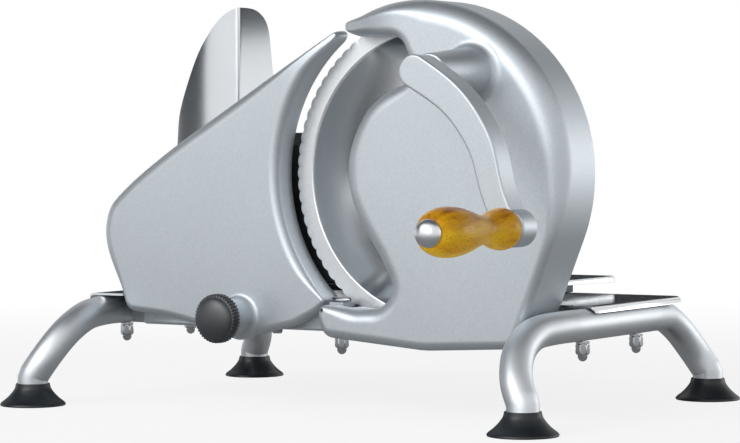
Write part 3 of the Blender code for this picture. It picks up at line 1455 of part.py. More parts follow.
def thumb_guard():
    face = GUARD_FACE - GUARD_T
    inner = GUARD_BEND - GUARD_T
    middle_x = GUARD_X - GUARD_BEND
    middle_y = face + GUARD_BEND
    turns = [pi / 2 * i / 5 for i in range(6)]
    bend = [(middle_x + GUARD_BEND * sin(a), middle_y - GUARD_BEND * cos(a)) for a in turns]
    inside = [(middle_x + inner * sin(a), middle_y - inner * cos(a)) for a in turns]
    section = [
        (CARRIAGE_LEFT, GUARD_FACE), (CARRIAGE_LEFT, face), *bend,
        (GUARD_X, GUARD_BACK), (GUARD_X - GUARD_T, GUARD_BACK), *inside[::-1],
    ]
    low = CARRIAGE_TOP + GAP
    body = plate("thumb_guard", section, "Z", low, GUARD_TOP, carriage_slide, STEEL)
    left = GUARD_X - GUARD_T - FLANGE_WIDTH
    foot = block("guard_foot", (left, 0.0200, low), (GUARD_X - GUARD_T / 2, 0.1040, low + GUARD_T))
    join(body, foot)
    front = spline(GUARD_FRONT_PANEL, 2)
    front_waste = [(-0.2, 0.05), (front[0][0], 0.05), *front, (front[-1][0], 0.25), (-0.2, 0.25)]
    side = spline(GUARD_SIDE_PANEL, 2)
    side_waste = [*side, (0.2, side[-1][1]), (0.2, 0.25), (side[0][0], 0.25)]
    cut(
        body,
        plate("guard_front_waste", front_waste, "Y", -0.05, GUARD_FACE + 0.0010),
        plate("guard_side_waste", side_waste, "X", GUARD_X - 0.003, GUARD_X + 0.003),
        *rivet_holes("guard"),
    )


def guard_rivet(name, y):
    x = GUARD_X - GUARD_T - FLANGE_WIDTH * 0.55
    top = CARRIAGE_TOP + GAP + GUARD_T + GAP
    bottom = CARRIAGE_UNDER - GAP
    profile = [
        (0, top + 0.0014), (RIVET_R, top + 0.0011), (RIVET_R * 1.7, top), (RIVET_R, top),
        (RIVET_R, bottom), (RIVET_R * 1.6, bottom), (RIVET_R * 1.6, bottom - 0.0008), (0, bottom - 0.0008),
    ]
    turned(name, profile, "Z", (x, y, 0), 12, carriage_slide, STEEL)


thumb_guard()
guard_rivet("guard_rivet_front", RIVET_YS[0])
guard_rivet("guard_rivet_rear", RIVET_YS[1])


# Food holder: a black pusher plate with a foot and a grip behind

HOLDER_FACE = -0.0350
HOLDER_LEFT = GUARD_X + 2 * GAP
HOLDER_FOOT = 0.0300
HOLDER_GRIP_Z = 0.1150
HOLDER_SCREW_L = 0.0200
HOLDER_HEAD_H = 0.0009


def holder_plate():
    low = CARRIAGE_TOP + GAP
    corners = [
        (HOLDER_LEFT, low, 0.0, 0.001), (HOLDER_RIGHT, low, 0.0, 0.001),
        (HOLDER_RIGHT, HOLDER_TOP, 0.0150, 0.001), (HOLDER_LEFT, HOLDER_TOP, 0.0060, 0.001),
    ]
    outline = [(x, z) for x, z, _ in filleted(corners)]
    body = plate("holder_plate", outline, "Y", HOLDER_FACE, HOLDER_FACE + HOLDER_T, holder_slide, PLASTIC)
    back = HOLDER_FACE + HOLDER_FOOT
    foot = block(
        "holder_foot",
        (HOLDER_LEFT, HOLDER_FACE + HOLDER_T / 2, low),
        (HOLDER_RIGHT, back, low + HOLDER_FOOT_T),
    )
    ribs = []
    for i, x in enumerate((HOLDER_LEFT + 0.0100, HOLDER_RIGHT - 0.0120)):
        rib = [
            (HOLDER_FACE + HOLDER_T / 2, low + 0.001), (HOLDER_FACE + HOLDER_FOOT, low + 0.001),
            (HOLDER_FACE + HOLDER_T / 2, HOLDER_TOP - 0.0250),
        ]
        ribs.append(plate(f"holder_rib_{i}", rib, "X", x, x + 0.003))
    join(body, foot, *ribs)
    middle = (HOLDER_LEFT + HOLDER_RIGHT) / 2
    cut(body, rod("holder_screw_hole", BOLT_R + GAP, -0.05, 0.0, "Y", (middle, 0, HOLDER_GRIP_Z)))


def holder_grip():
    middle = (HOLDER_LEFT + HOLDER_RIGHT) / 2
    base = HOLDER_FACE + HOLDER_T + GAP
    profile = [
        (BOLT_R + GAP, base), (0.0150, base), (0.0150, base + 0.003), (0.0105, base + 0.006),
        (0.0085, base + 0.014), (0.0095, base + 0.024), (0.0135, base + 0.034), (0.0150, base + 0.040),
        (0.0140, base + 0.046), (0.0100, base + 0.050), (0, base + 0.0515),
        (0, base + 0.018), (BOLT_R + GAP, base + 0.018),
    ]
    turned("holder_grip", profile, "Y", (middle, 0, HOLDER_GRIP_Z), 16, holder_slide, PLASTIC, ring=True)
    headed(
        "holder_screw", "Y", (middle, HOLDER_FACE - GAP, HOLDER_GRIP_Z),
        BOLT_HEAD_R, HOLDER_HEAD_H, BOLT_R, HOLDER_SCREW_L, -1, 12, holder_slide,
    )


holder_plate()
holder_grip()
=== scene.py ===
"""Manual food slicer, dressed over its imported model.

Metres, +Z up, +X towards the crank, -Y towards the crank's grip. The machine is
put together here in the order in which it is built: frame, plates, blade, housing,
crank, stop plate, carriage, food holder.
"""

from math import acos, atan2, cos, pi, radians, sin

import bmesh
import bpy
import numpy as np
from mathutils import Matrix, Vector


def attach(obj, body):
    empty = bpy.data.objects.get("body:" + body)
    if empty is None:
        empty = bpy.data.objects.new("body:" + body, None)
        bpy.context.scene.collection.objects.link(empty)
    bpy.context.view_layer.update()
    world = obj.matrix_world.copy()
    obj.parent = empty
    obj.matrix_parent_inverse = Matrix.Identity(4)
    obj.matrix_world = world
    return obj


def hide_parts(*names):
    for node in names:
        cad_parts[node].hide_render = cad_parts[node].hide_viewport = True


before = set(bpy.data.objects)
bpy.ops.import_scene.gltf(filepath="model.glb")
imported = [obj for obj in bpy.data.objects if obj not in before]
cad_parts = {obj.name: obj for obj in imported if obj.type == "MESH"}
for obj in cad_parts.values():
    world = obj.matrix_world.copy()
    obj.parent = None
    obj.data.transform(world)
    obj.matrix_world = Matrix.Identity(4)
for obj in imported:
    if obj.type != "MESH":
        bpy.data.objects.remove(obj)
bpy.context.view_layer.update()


# Studio: a still-life table of pale board under a large softbox and a lower one in front.
# The camera stands where the photograph was taken, a little right of the machine's front.

CAMERA_AT = (0.76865, -1.20820, 0.14301)
CAMERA_YAW = radians(31.63)
CAMERA_PITCH = radians(1.71)
CAMERA_ROLL = radians(-0.13)
CAMERA_LENS = 130.43
SENSOR_WIDTH = 36.0
FLOOR_HALF = 6.0
FLOOR_COLOUR = (0.88, 0.88, 0.88)
FLOOR_SHADOW = 0.16
SHADOW_REACH = (0.30, 1.10)
# Painted shadow in mirrors: how brightly the floor glows for shiny surfaces near the machine, and the
# distances over which it grows to white.
FLOOR_PAINTED_SHADE_IN_MIRRORS = 0.24
PAINTED_SHADE_REACH = (0.28, 1.00)
DAYLIGHT = 0.26


class Wire:
    """A shader socket whose arithmetic adds Math nodes to its finish."""

    def __init__(self, finish, socket):
        self.finish = finish
        self.socket = socket

    def __add__(self, other):
        return self.finish.maths("ADD", self, other)

    def __sub__(self, other):
        return self.finish.maths("SUBTRACT", self, other)

    def __rsub__(self, other):
        return self.finish.maths("SUBTRACT", other, self)

    def __mul__(self, other):
        return self.finish.maths("MULTIPLY", self, other)

    def __pow__(self, other):
        return self.finish.maths("POWER", self, other)

    def least(self, other):
        return self.finish.maths("MINIMUM", self, other)

    def most(self, other):
        return self.finish.maths("MAXIMUM", self, other)

    __radd__ = __add__
    __rmul__ = __mul__


class Finish:
    """A procedural material: fixed numbers on its shader, and nodes for what changes over a surface."""

    def __init__(self, name, fixed=None, tree=None):
        if tree is None:
            self.material = bpy.data.materials.new(name)
            self.material.use_nodes = True
            tree = self.material.node_tree
        self.tree = tree
        self.shader = tree.nodes.get("Principled BSDF")
        for label, value in (fixed or {}).items():
            self.fill(self.shader.inputs[label], value)

    def fill(self, socket, value):
        """Links a wire to a socket, or sets the socket's number or colour."""
        if isinstance(value, Wire):
            self.tree.links.new(value.socket, socket)
        elif socket.type == "RGBA" and len(value) == 3:
            socket.default_value = (*value, 1)
        else:
            socket.default_value = value

    def add(self, kind, settings=None, sockets=None, out=0):
        """Adds a node: its settings first, then the values or links of its sockets."""
        node = self.tree.nodes.new(kind)
        for label, value in (settings or {}).items():
            if label == "stops":
                stops = node.color_ramp.elements
                while len(stops) < len(value):
                    stops.new(1.0)
                for stop, (place, colour) in zip(stops, value):
                    stop.position = place
                    stop.color = (*colour, 1)
            else:
                setattr(node, label, value)
        for label, value in (sockets or {}).items():
            self.fill(node.inputs[label], value)
        return Wire(self, node.outputs[out])

    def maths(self, operation, first, second):
        """What a Math node makes of two values."""
        return self.add("ShaderNodeMath", {"operation": operation}, {0: first, 1: second})

    def feed(self, label, wire):
        """Drives one of the shader's sockets."""
        self.fill(self.shader.inputs[label], wire)

    def spot(self, scale=(1, 1, 1), centre=(0, 0, 0)):
        """The place on the piece, measured from a centre and stretched by a scale."""
        from_object = self.add("ShaderNodeTexCoord", out=3)
        moved = self.add("ShaderNodeVectorMath", {"operation": "SUBTRACT"}, {0: from_object, 1: centre})
        return self.add("ShaderNodeVectorMath", {"operation": "MULTIPLY"}, {0: moved, 1: scale})

    def noise(self, spot, scale, detail=3.0, rough=0.5):
        """Soft noise between 0 and 1."""
        return self.add(
            "ShaderNodeTexNoise", {}, {"Vector": spot, "Scale": scale, "Detail": detail, "Roughness": rough},
        )

    def shades(self, wire, low, high):
        """A colour between two, by a wire that runs from 0 to 1."""
        return self.add("ShaderNodeValToRGB", {"stops": [(0.0, low), (1.0, high)]}, {0: wire})

    def bump(self, height, distance, strength=1.0):
        """Raises the surface by a height, as light sees it."""
        sockets = {"Strength": strength, "Distance": distance, "Height": height}
        self.feed("Normal", self.add("ShaderNodeBump", {}, sockets))


def table():
    """The floor: shaded near the machine and white further off. In mirrors its glow is painted darker close
    by, a painted shadow under the machine.
    """
    bpy.ops.mesh.primitive_plane_add(size=2 * FLOOR_HALF)
    floor = bpy.context.object
    floor.name = "table"
    board = Finish("pale_board", {"Base Color": FLOOR_COLOUR, "Roughness": 0.9})
    straight = board.add("ShaderNodeLightPath", out=0).most(board.add("ShaderNodeLightPath", out=6))
    mirrored = board.add("ShaderNodeLightPath", out=3)
    away = board.add("ShaderNodeVectorMath", {"operation": "LENGTH"}, {0: board.spot()}, 1)
    fading = board.add("ShaderNodeMapRange", {"interpolation_type": "SMOOTHSTEP"}, {
        0: away, 1: SHADOW_REACH[0], 2: SHADOW_REACH[1], 3: 1 - FLOOR_SHADOW, 4: 1.0,
    })
    # Painted shadow for mirrors: the glow that glossy rays see is darker near the machine, standing in for
    # the shade under it.
    below = board.add("ShaderNodeMapRange", {"interpolation_type": "SMOOTHSTEP"}, {
        0: away, 1: PAINTED_SHADE_REACH[0], 2: PAINTED_SHADE_REACH[1], 3: FLOOR_PAINTED_SHADE_IN_MIRRORS, 4: 1.0,
    })
    glow = board.add("ShaderNodeEmission", {}, {"Color": (1, 1, 1), "Strength": straight + mirrored * below})
    mixed = board.add("ShaderNodeMixShader", {}, {0: straight * fading + mirrored})
    board.tree.links.new(board.shader.outputs[0], mixed.socket.node.inputs[1])
    board.tree.links.new(glow.socket, mixed.socket.node.inputs[2])
    board.tree.links.new(mixed.socket, board.tree.nodes["Material Output"].inputs[0])
    floor.data.materials.append(board.material)


def sky():
    """White for the camera, in mirrors and through glass, and a dimmer light on everything else."""
    world = bpy.data.worlds.new("studio")
    world.use_nodes = True
    bpy.context.scene.world = world
    air = Finish("studio", tree=world.node_tree)
    seen = air.add("ShaderNodeLightPath", out=0)
    seen = seen.most(air.add("ShaderNodeLightPath", out=3)).most(air.add("ShaderNodeLightPath", out=6))
    background = world.node_tree.nodes["Background"]
    background.inputs["Color"].default_value = (1, 1, 1, 1)
    world.node_tree.links.new((seen * (1 - DAYLIGHT) + DAYLIGHT).socket, background.inputs["Strength"])


def placed(name, data):
    """A new object in the scene."""
    thing = bpy.data.objects.new(name, data)
    bpy.context.scene.collection.objects.link(thing)
    return thing


def softbox(name, at, to, width, height, watts):
    """A soft lamp that looks from one place to another."""
    lamp = bpy.data.lights.new(name, "AREA")
    lamp.shape = "RECTANGLE"
    lamp.size = width
    lamp.size_y = height
    lamp.energy = watts
    holder = placed(name, lamp)
    holder.location = at
    holder.rotation_euler = (Vector(to) - Vector(at)).to_track_quat("-Z", "Y").to_euler()


def flag(name, at, to, width, height, grey):
    """A dark board that only shiny surfaces see, to draw their edges."""
    half = np.array([[-1, -1], [1, -1], [1, 1], [-1, 1]]) * (width / 2, height / 2)
    turn = (Vector(to) - Vector(at)).to_track_quat("-Z", "Y").to_matrix()
    corners = [turn @ Vector((x, y, 0)) + Vector(at) for x, y in half]
    mesh = bpy.data.meshes.new(name)
    mesh.from_pydata(corners, [], [(0, 1, 2, 3)])
    board = placed(name, mesh)
    cloth = Finish(name, {
        "Base Color": (grey, grey * 1.08, grey * 1.16), "Roughness": 1.0, "Specular IOR Level": 0.0,
    })
    mesh.materials.append(cloth.material)
    board.visible_camera = False
    board.visible_diffuse = False
    board.visible_shadow = False


def camera():
    """The photograph's own view: right, up and back are the columns of the camera's turn."""
    lens = bpy.data.cameras.new("camera")
    lens.lens = CAMERA_LENS
    lens.sensor_width = SENSOR_WIDTH
    lens.clip_end = 50.0
    holder = placed("camera", lens)
    right = Vector((cos(CAMERA_YAW), sin(CAMERA_YAW), 0))
    back = Vector((
        sin(CAMERA_YAW) * cos(CAMERA_PITCH), -cos(CAMERA_YAW) * cos(CAMERA_PITCH), sin(CAMERA_PITCH),
    ))
    up = back.cross(right)
    rolled = right * cos(CAMERA_ROLL) + up * sin(CAMERA_ROLL)
    turn = Matrix((rolled, back.cross(rolled), back)).transposed().to_4x4()
    holder.matrix_world = Matrix.Translation(CAMERA_AT) @ turn
    bpy.context.scene.camera = holder


camera()
table()
sky()
softbox("softbox", (-0.55, -1.75, 1.25), (0, 0, 0.1), 1.3, 0.9, 20.0)
softbox("low_front", (0.45, -1.9, 0.75), (0, 0, 0.12), 1.2, 0.8, 6.0)
softbox("right_strip", (1.25, 1.70, 0.32), (0, 0, 0.12), 0.8, 0.6, 4.0)
flag("flag_roof", (-0.1, 0.2, 1.6), (0, 0, 0.1), 3.0, 2.2, 0.12)
flag("flag_left", (-1.8, -0.35, 1.2), (0, 0, 0.1), 2.2, 1.3, 0.10)
flag("flag_strip", (-2.0, -0.93, 0.25), (0, 0, 0.1), 0.9, 1.0, 0.10)
flag("flag_behind", (-1.2, 1.6, 0.45), (0, 0, 0.1), 2.0, 1.0, 0.08)
flag("flag_right", (0.9, 1.75, 1.65), (0, 0, 0.1), 1.8, 1.0, 0.12)
bpy.context.scene.view_settings.view_transform = "Standard"


# Legs: one steel tube a side, 16.4 mm across, bent down at both ends into its feet.
# Drawn tube, ground and satin-chromed, so its light runs along it in long soft bands.

SHIFT = 0.04265
TUBE_X = 0.1446
TUBE_Z = 0.0492
TUBE_R = 0.0082
TUBE_RUN = 0.0450
TUBE_END_Z = 0.0042
FOOT_X = 0.1513
FOOT_Y = 0.1075
LEG_BEND = (
    (0.1425, 0.0600, 0.0488), (0.1400, 0.0765, 0.0468), (0.1408, 0.0925, 0.0388),
    (0.1450, 0.1030, 0.0270), (0.1490, 0.1063, 0.0195), (FOOT_X, FOOT_Y, 0.0156),
)
SATIN_STEEL = (0.66, 0.68, 0.70)
SIDES = ((-1, "left"), (1, "right"))


def through(points, spans):
    """A smooth curve through points: between two of them, the cubic that leaves and arrives
    along the line between their neighbours. The matrix weighs four points for each power of t."""
    points = np.asarray(points, float)
    padded = np.concatenate([points[:1], points, points[-1:]])
    sets = np.stack([padded[:-3], padded[1:-2], padded[2:-1], padded[3:]], axis=1)
    t = np.arange(spans)[:, None] / spans
    powers = np.concatenate([t**0, t, t**2, t**3], axis=1)
    weights = np.array([[0, 2, 0, 0], [-1, 0, 1, 0], [2, -5, 4, -1], [-1, 3, -3, 1]]) / 2
    made = np.einsum("tp,pk,skd->std", powers, weights, sets).reshape(-1, points.shape[1])
    return np.concatenate([made, points[-1:]])


def eased(points, rounds):
    """Each point drawn halfway to the middle of its neighbours, over and over, with the ends held."""
    points = points.copy()
    for _ in range(rounds):
        points[1:-1] = points[1:-1] / 2 + (points[:-2] + points[2:]) / 4
    return points


def even(points, count, closed=False, axes=3):
    """The same line with its points spread evenly along its length, measured over its first axes."""
    if closed:
        points = np.concatenate([points, points[:1]])
    length = np.concatenate([[0], np.cumsum(np.linalg.norm(np.diff(points[:, :axes], axis=0), axis=1))])
    wanted = np.linspace(0, length[-1], count, endpoint=not closed)
    return np.stack([np.interp(wanted, length, column) for column in points.T], axis=1)


def skin(name, points, finish, around=True, along=False, ends=True, sharp=30):
    """A grid of points (rows, columns, xyz) as a closed mesh: around joins the columns' ends,
    along the rows' ends, and ends caps the first and last row."""
    points = np.asarray(points, float)
    rows, columns = points.shape[:2]
    index = np.arange(rows * columns).reshape(rows, columns)
    last = (rows - 1) * columns
    if around:
        index = np.concatenate([index, index[:, :1]], axis=1)
    if along:
        index = np.concatenate([index, index[:1]], axis=0)
    quads = np.stack([index[:-1, :-1], index[:-1, 1:], index[1:, 1:], index[1:, :-1]], axis=-1)
    faces = quads.reshape(-1, 4).tolist()
    if ends:
        faces += [list(range(columns))[::-1], list(range(last, last + columns))]
    mesh = bpy.data.meshes.new(name)
    mesh.from_pydata(points.reshape(-1, 3).tolist(), [], faces)
    return settled(name, mesh, finish, sharp)


def smooth(mesh, sharp=60):
    """Smooth shading, broken only where faces meet at more than an angle in degrees."""
    mesh.shade_smooth()
    mesh.set_sharp_from_angle(angle=radians(sharp))


def settled(name, mesh, finish, sharp=30):
    """Merges a mesh's doubles, turns its faces outwards, smooths it and puts it in the scene."""
    bm = bmesh.new()
    bm.from_mesh(mesh)
    bmesh.ops.remove_doubles(bm, verts=bm.verts, dist=0.000002)
    bmesh.ops.dissolve_degenerate(bm, edges=bm.edges, dist=0.000002)
    bmesh.ops.recalc_face_normals(bm, faces=bm.faces)
    if bm.calc_volume(signed=True) < 0:
        bmesh.ops.reverse_faces(bm, faces=bm.faces)
    bm.to_mesh(mesh)
    bm.free()
    smooth(mesh, sharp)
    piece = placed(name, mesh)
    if finish:
        mesh.materials.append(finish.material)
    return piece


def swept(name, path, radius, finish, steps=40, sharp=30):
    """A round tube along a path: circles across the path, whose first direction is carried
    from one point to the next so that the tube doesn't twist."""
    run = np.gradient(path, axis=0)
    run /= np.linalg.norm(run, axis=1)[:, None]
    side = np.zeros_like(path)
    side[0] = np.cross(run[0], (1.0, 0.0, 0.0))
    for i in range(1, len(path)):
        side[i] = side[i - 1] - run[i] * np.dot(side[i - 1], run[i])
    side /= np.linalg.norm(side, axis=1)[:, None]
    other = np.cross(run, side)
    turn = np.linspace(0, 2 * pi, steps, endpoint=False)
    circle = np.cos(turn)[None, :, None] * side[:, None] + np.sin(turn)[None, :, None] * other[:, None]
    return skin(name, path[:, None] + radius * circle, finish, sharp=sharp)


def dressed(piece, body, node):
    """Rides a piece on a body and lets it stand for a CAD solid."""
    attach(piece, body)
    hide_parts(node)
    return piece


def leg_path(side):
    """A tube's middle line: straight between the cap nuts, and the same smooth bend at both ends."""
    bend = eased(even(through([(TUBE_X, TUBE_RUN, TUBE_Z), *LEG_BEND], 12), 60), 12)
    bend = np.concatenate([bend, [(FOOT_X, FOOT_Y, TUBE_END_Z)]])
    front = bend[::-1] * (1, -1, 1)
    return np.concatenate([front, bend]) * (side, 1, 1) + (0, SHIFT, 0)


satin = Finish("satin_steel", {"Metallic": 1.0, "Base Color": SATIN_STEEL, "Roughness": 0.48})
drawn = satin.noise(satin.spot((900, 30, 900)), 1.0, 3.0)
cloud = satin.noise(satin.spot((40, 40, 40)), 1.0, 2.0)
satin.feed("Base Color", satin.shades(cloud, (0.64, 0.67, 0.70), (0.70, 0.73, 0.76)))
satin.feed("Roughness", 0.44 + drawn * 0.10 + cloud * 0.02)
satin.bump(drawn, 0.00003, 0.35)

for side, side_name in SIDES:
    leg = swept(side_name + "_leg", leg_path(side), TUBE_R, satin, 56)
    dressed(leg, "base", side_name + "_leg_tube")


# Suction feet: moulded black rubber, a collar on the tube's end and a flared cup under it.
# The skirt thins to a lip, and the mould leaves a satin skin with a little dust on it.

FOOT_LINE = (
    (0.0000, 0.0039), (0.0085, 0.0039), (0.0085, 0.0117), (0.0086, 0.0120), (0.0088, 0.0120),
    (0.0092, 0.0117), (0.0094, 0.0108), (0.0098, 0.0094), (0.0107, 0.0079), (0.0122, 0.0060),
    (0.0143, 0.0039), (0.0162, 0.0024), (0.0173, 0.0015), (0.0177, 0.0009), (0.0178, 0.0005),
    (0.0175, 0.0000), (0.0152, 0.0000), (0.0126, 0.0012), (0.0089, 0.0022), (0.0000, 0.0024),
)
ENDS = ((-1, "front"), (1, "rear"))


def turned(name, line, axis, at, finish, steps=64, sharp=30, ring=False, cut=0.0):
    """A profile of (radius, height) carried round an axis, "Y" or "Z", through a place, and cut in
    by an amount, which may differ at each row and step."""
    line = np.asarray(line, float)
    turn = np.linspace(0, 2 * pi, steps, endpoint=False)
    radius = line[:, :1] - cut
    x = radius * np.cos(turn)
    z = radius * np.sin(turn)
    height = np.repeat(line[:, 1:2], steps, axis=1)
    points = np.stack((x, z, height) if axis == "Z" else (x, height, z), axis=-1)
    return skin(name, points + np.asarray(at), finish, along=ring, ends=False, sharp=sharp)


def mottled(name, fixed, patches, colours, rough, height, grain=None):
    """A finish whose patches, noise of (scale, detail), drive its colour between two, its roughness
    from a least by a spread, and its bumps of (distance, strength), unless a finer grain does."""
    made = Finish(name, fixed)
    fine = made.noise(made.spot(), *grain) if grain else None
    coarse = made.noise(made.spot(), *patches)
    made.feed("Base Color", made.shades(coarse, *colours))
    made.feed("Roughness", rough[0] + coarse * rough[1])
    made.bump(fine or coarse, *height)
    return made


rubber = mottled(
    "black_rubber", {"Base Color": (0.012, 0.016, 0.021), "Roughness": 0.42, "Specular IOR Level": 0.5},
    (90.0, 4.0), ((0.004, 0.007, 0.010), (0.013, 0.017, 0.022)), (0.32, 0.22), (0.00006, 0.35), (2600.0, 2.0),
)

for side, side_name in SIDES:
    for end, end_name in ENDS:
        line = np.concatenate([FOOT_LINE[:4], through(FOOT_LINE[4:14], 5), FOOT_LINE[14:]])
        at = (side * FOOT_X, end * FOOT_Y + SHIFT, 0)
        foot = turned(f"foot_{end_name}_{side_name}", line, "Z", at, rubber, 72, 40)
        dressed(foot, "base", f"suction_foot_{end_name}_{side_name}")


# Base plate: 1.2 mm stainless sheet, mirror-polished, its two ends rolled down over the tubes.
# A narrow tab at the front left rests on the left tube.

PLATE_TOP = 0.0589
PLATE_T = 0.0012
PLATE_HALF = 0.1470
LIP_OUT = 0.0052
LIP_DROP = 0.0037
PLATE_FRONT = -0.0300
PLATE_BACK = 0.0740
TAB_FRONT = -0.0573
TAB_LEFT = -0.1270
PLATE_CORNER = 0.0045
MIRROR_STEEL = (0.70, 0.72, 0.74)


def filleted(corners, steps=8):
    """A closed outline whose corners (x, z, radius, and more) are arcs: each arc touches both sides
    at radius over the tangent of half the corner's angle, and what follows the radius is kept."""
    corners = [tuple(float(v) for v in corner) for corner in corners]
    made = []
    for before, corner, after in zip(corners[-1:] + corners[:-1], corners, corners[1:] + corners[:1]):
        at = np.array(corner[:2])
        radius = corner[2]
        if not radius:
            made.append((*at, *corner[3:]))
            continue
        back = np.array(before[:2]) - at
        ahead = np.array(after[:2]) - at
        back /= np.linalg.norm(back)
        ahead /= np.linalg.norm(ahead)
        half = acos(np.clip(back @ ahead, -1, 1)) / 2
        middle = at + (back + ahead) / np.linalg.norm(back + ahead) * radius / sin(half)
        start = at + back * radius * cos(half) / sin(half) - middle
        end = at + ahead * radius * cos(half) / sin(half) - middle
        first = atan2(start[1], start[0])
        swing = (atan2(end[1], end[0]) - first + pi) % (2 * pi) - pi
        angles = first + swing * np.linspace(0, 1, steps + 1)
        made += [(middle[0] + radius * cos(a), middle[1] + radius * sin(a), *corner[3:]) for a in angles]
    return np.array(made)


def prism(name, outline, axis, low, high, finish=None):
    """An outline carried along an axis between two places."""
    outline = np.asarray(outline, float)[:, :2]
    places = {"X": (2, 0, 1), "Y": (0, 2, 1), "Z": (0, 1, 2)}[axis]
    rings = []
    for place in (low, high):
        flat = np.concatenate([outline, np.full((len(outline), 1), place)], axis=1)
        rings.append(flat[:, places])
    return skin(name, rings, finish)


def baked(piece):
    """Applies a piece's modifiers."""
    graph = bpy.context.evaluated_depsgraph_get()
    mesh = bpy.data.meshes.new_from_object(piece.evaluated_get(graph))
    piece.modifiers.clear()
    piece.data = mesh


def carve(piece, tools, operation="DIFFERENCE"):
    """Takes tools out of a piece, or joins them to it, and leaves one plain mesh."""
    for tool in tools:
        step = piece.modifiers.new(tool.name, "BOOLEAN")
        step.operation = operation
        step.solver = "EXACT"
        step.object = tool
    baked(piece)
    smooth(piece.data)
    for tool in tools:
        bpy.data.objects.remove(tool, do_unlink=True)


mirror = Finish("polished_steel", {"Metallic": 1.0, "Base Color": MIRROR_STEEL, "Roughness": 0.12})
streaks = mirror.noise(mirror.spot((25, 700, 25)), 1.0, 3.0)
smears = mirror.noise(mirror.spot(), 35.0, 3.0)
mirror.feed("Base Color", mirror.shades(smears, (0.64, 0.67, 0.69), (0.74, 0.76, 0.78)))
mirror.feed("Roughness", 0.08 + streaks * 0.07 + smears * 0.05)
mirror.bump(streaks, 0.00002, 0.12)

roll = np.linspace(0, pi / 2, 14)
over = np.stack([PLATE_HALF + LIP_OUT * np.sin(roll), PLATE_TOP - LIP_DROP * (1 - np.cos(roll))], axis=1)
under = np.stack([
    PLATE_HALF + (LIP_OUT - PLATE_T) * np.sin(roll),
    PLATE_TOP - PLATE_T - (LIP_DROP - PLATE_T) * (1 - np.cos(roll)),
], axis=1)
section = np.concatenate([over[::-1], over * (-1, 1), under[::-1] * (-1, 1), under])
plate = prism("bottom_plate", section, "Y", TAB_FRONT + SHIFT, PLATE_BACK + SHIFT, mirror)
plate_end = PLATE_HALF + LIP_OUT
plan = filleted([
    (-plate_end, TAB_FRONT, 0.0030), (TAB_LEFT, TAB_FRONT, 0.0030), (TAB_LEFT, PLATE_FRONT, 0.0015),
    (plate_end, PLATE_FRONT, 0.0030), (plate_end, PLATE_BACK, PLATE_CORNER),
    (-plate_end, PLATE_BACK, PLATE_CORNER),
]) + (0, SHIFT)
carve(plate, [prism("plate_plan", plan, "Z", PLATE_TOP - 0.01, PLATE_TOP + 0.01)], "INTERSECT")
dressed(plate, "base", "base_plate")


# Cap nuts: domed hexagon nuts, turned from brass, bright chrome, drawn up on studs through the tubes.
# The studs themselves end inside the nuts.

NUT_FLATS = 0.0064
NUT_HEX_H = 0.0066
NUT_DOME_H = 0.0036
NUT_DOME_R = 0.0025
NUT_NECK_R = 0.0036
NUT_NECK_H = 0.0010
NUT_LOW_CONE = 0.0008
NUT_HIGH_CONE = 0.0009
NUT_DOME_FOOT = 0.0010
NUT_STEPS = 96
NUT_Y = 0.0310
HOOK_NUT_AT = (0.0148, -0.0555 + SHIFT, 0.0409)
GAP = 0.0003


def cap_nut(name, at, node):
    """A hexagon whose corners are turned off at both ends, under a dome: at each height the
    outline is the hexagon, but nowhere further out than the turned cone or dome."""
    turn = np.linspace(0, 2 * pi, NUT_STEPS, endpoint=False)
    apothem = NUT_FLATS / 2
    hexagon = apothem / np.cos((turn + pi / 6) % (pi / 3) - pi / 6)
    corner = apothem / cos(pi / 6)
    start = apothem * 0.96
    foot = NUT_HEX_H + NUT_DOME_FOOT
    dome = NUT_DOME_H - NUT_DOME_FOOT
    down = np.linspace(1, 0, 5)
    rows = [(0.0, 0.0), (0.0, NUT_NECK_R), (NUT_NECK_H, NUT_NECK_R), (NUT_NECK_H, start)]
    rows += [(NUT_NECK_H + NUT_LOW_CONE * s, start + (corner - start) * s) for s in down[-2::-1]]
    rows += [(NUT_HEX_H - NUT_HIGH_CONE * s, corner + (apothem - corner) * (1 - s)) for s in down]
    rows += [(NUT_HEX_H + 0.0001, NUT_DOME_R + 0.0003), (NUT_HEX_H + 0.0003, NUT_DOME_R), (foot, NUT_DOME_R)]
    rows += [(foot + dome * sin(a), NUT_DOME_R * cos(a)) for a in np.linspace(0, pi / 2, 12)]
    height, reach = np.array(rows).T
    line = np.stack([reach, -height], axis=1)
    flats = np.maximum(reach[:, None] - hexagon, 0)
    nut = turned(name, line, "Z", at, chrome, NUT_STEPS, 32, cut=flats)
    dressed(nut, "base", node)


chrome = mottled(
    "chrome", {"Metallic": 1.0, "Base Color": (0.52, 0.54, 0.56), "Roughness": 0.05},
    (160.0, 3.0), ((0.44, 0.46, 0.48), (0.58, 0.60, 0.62)), (0.03, 0.07), (0.00004, 0.15),
)

for side, side_name in SIDES:
    for end, end_name in ENDS:
        nut_at = (side * TUBE_X, end * NUT_Y + SHIFT, TUBE_Z - TUBE_R - GAP)
        cap_nut(f"nut_{end_name}_{side_name}", nut_at, f"cap_nut_{end_name}_{side_name}")
cap_nut("nut_under_hook", HOOK_NUT_AT, "housing_cap_nut")


# Blade: ground stainless steel, 170 mm across, a wavy edge on a bevelled ring round a pressed dish.
# The ring keeps the wheel's marks across it, and the dish is polished round.

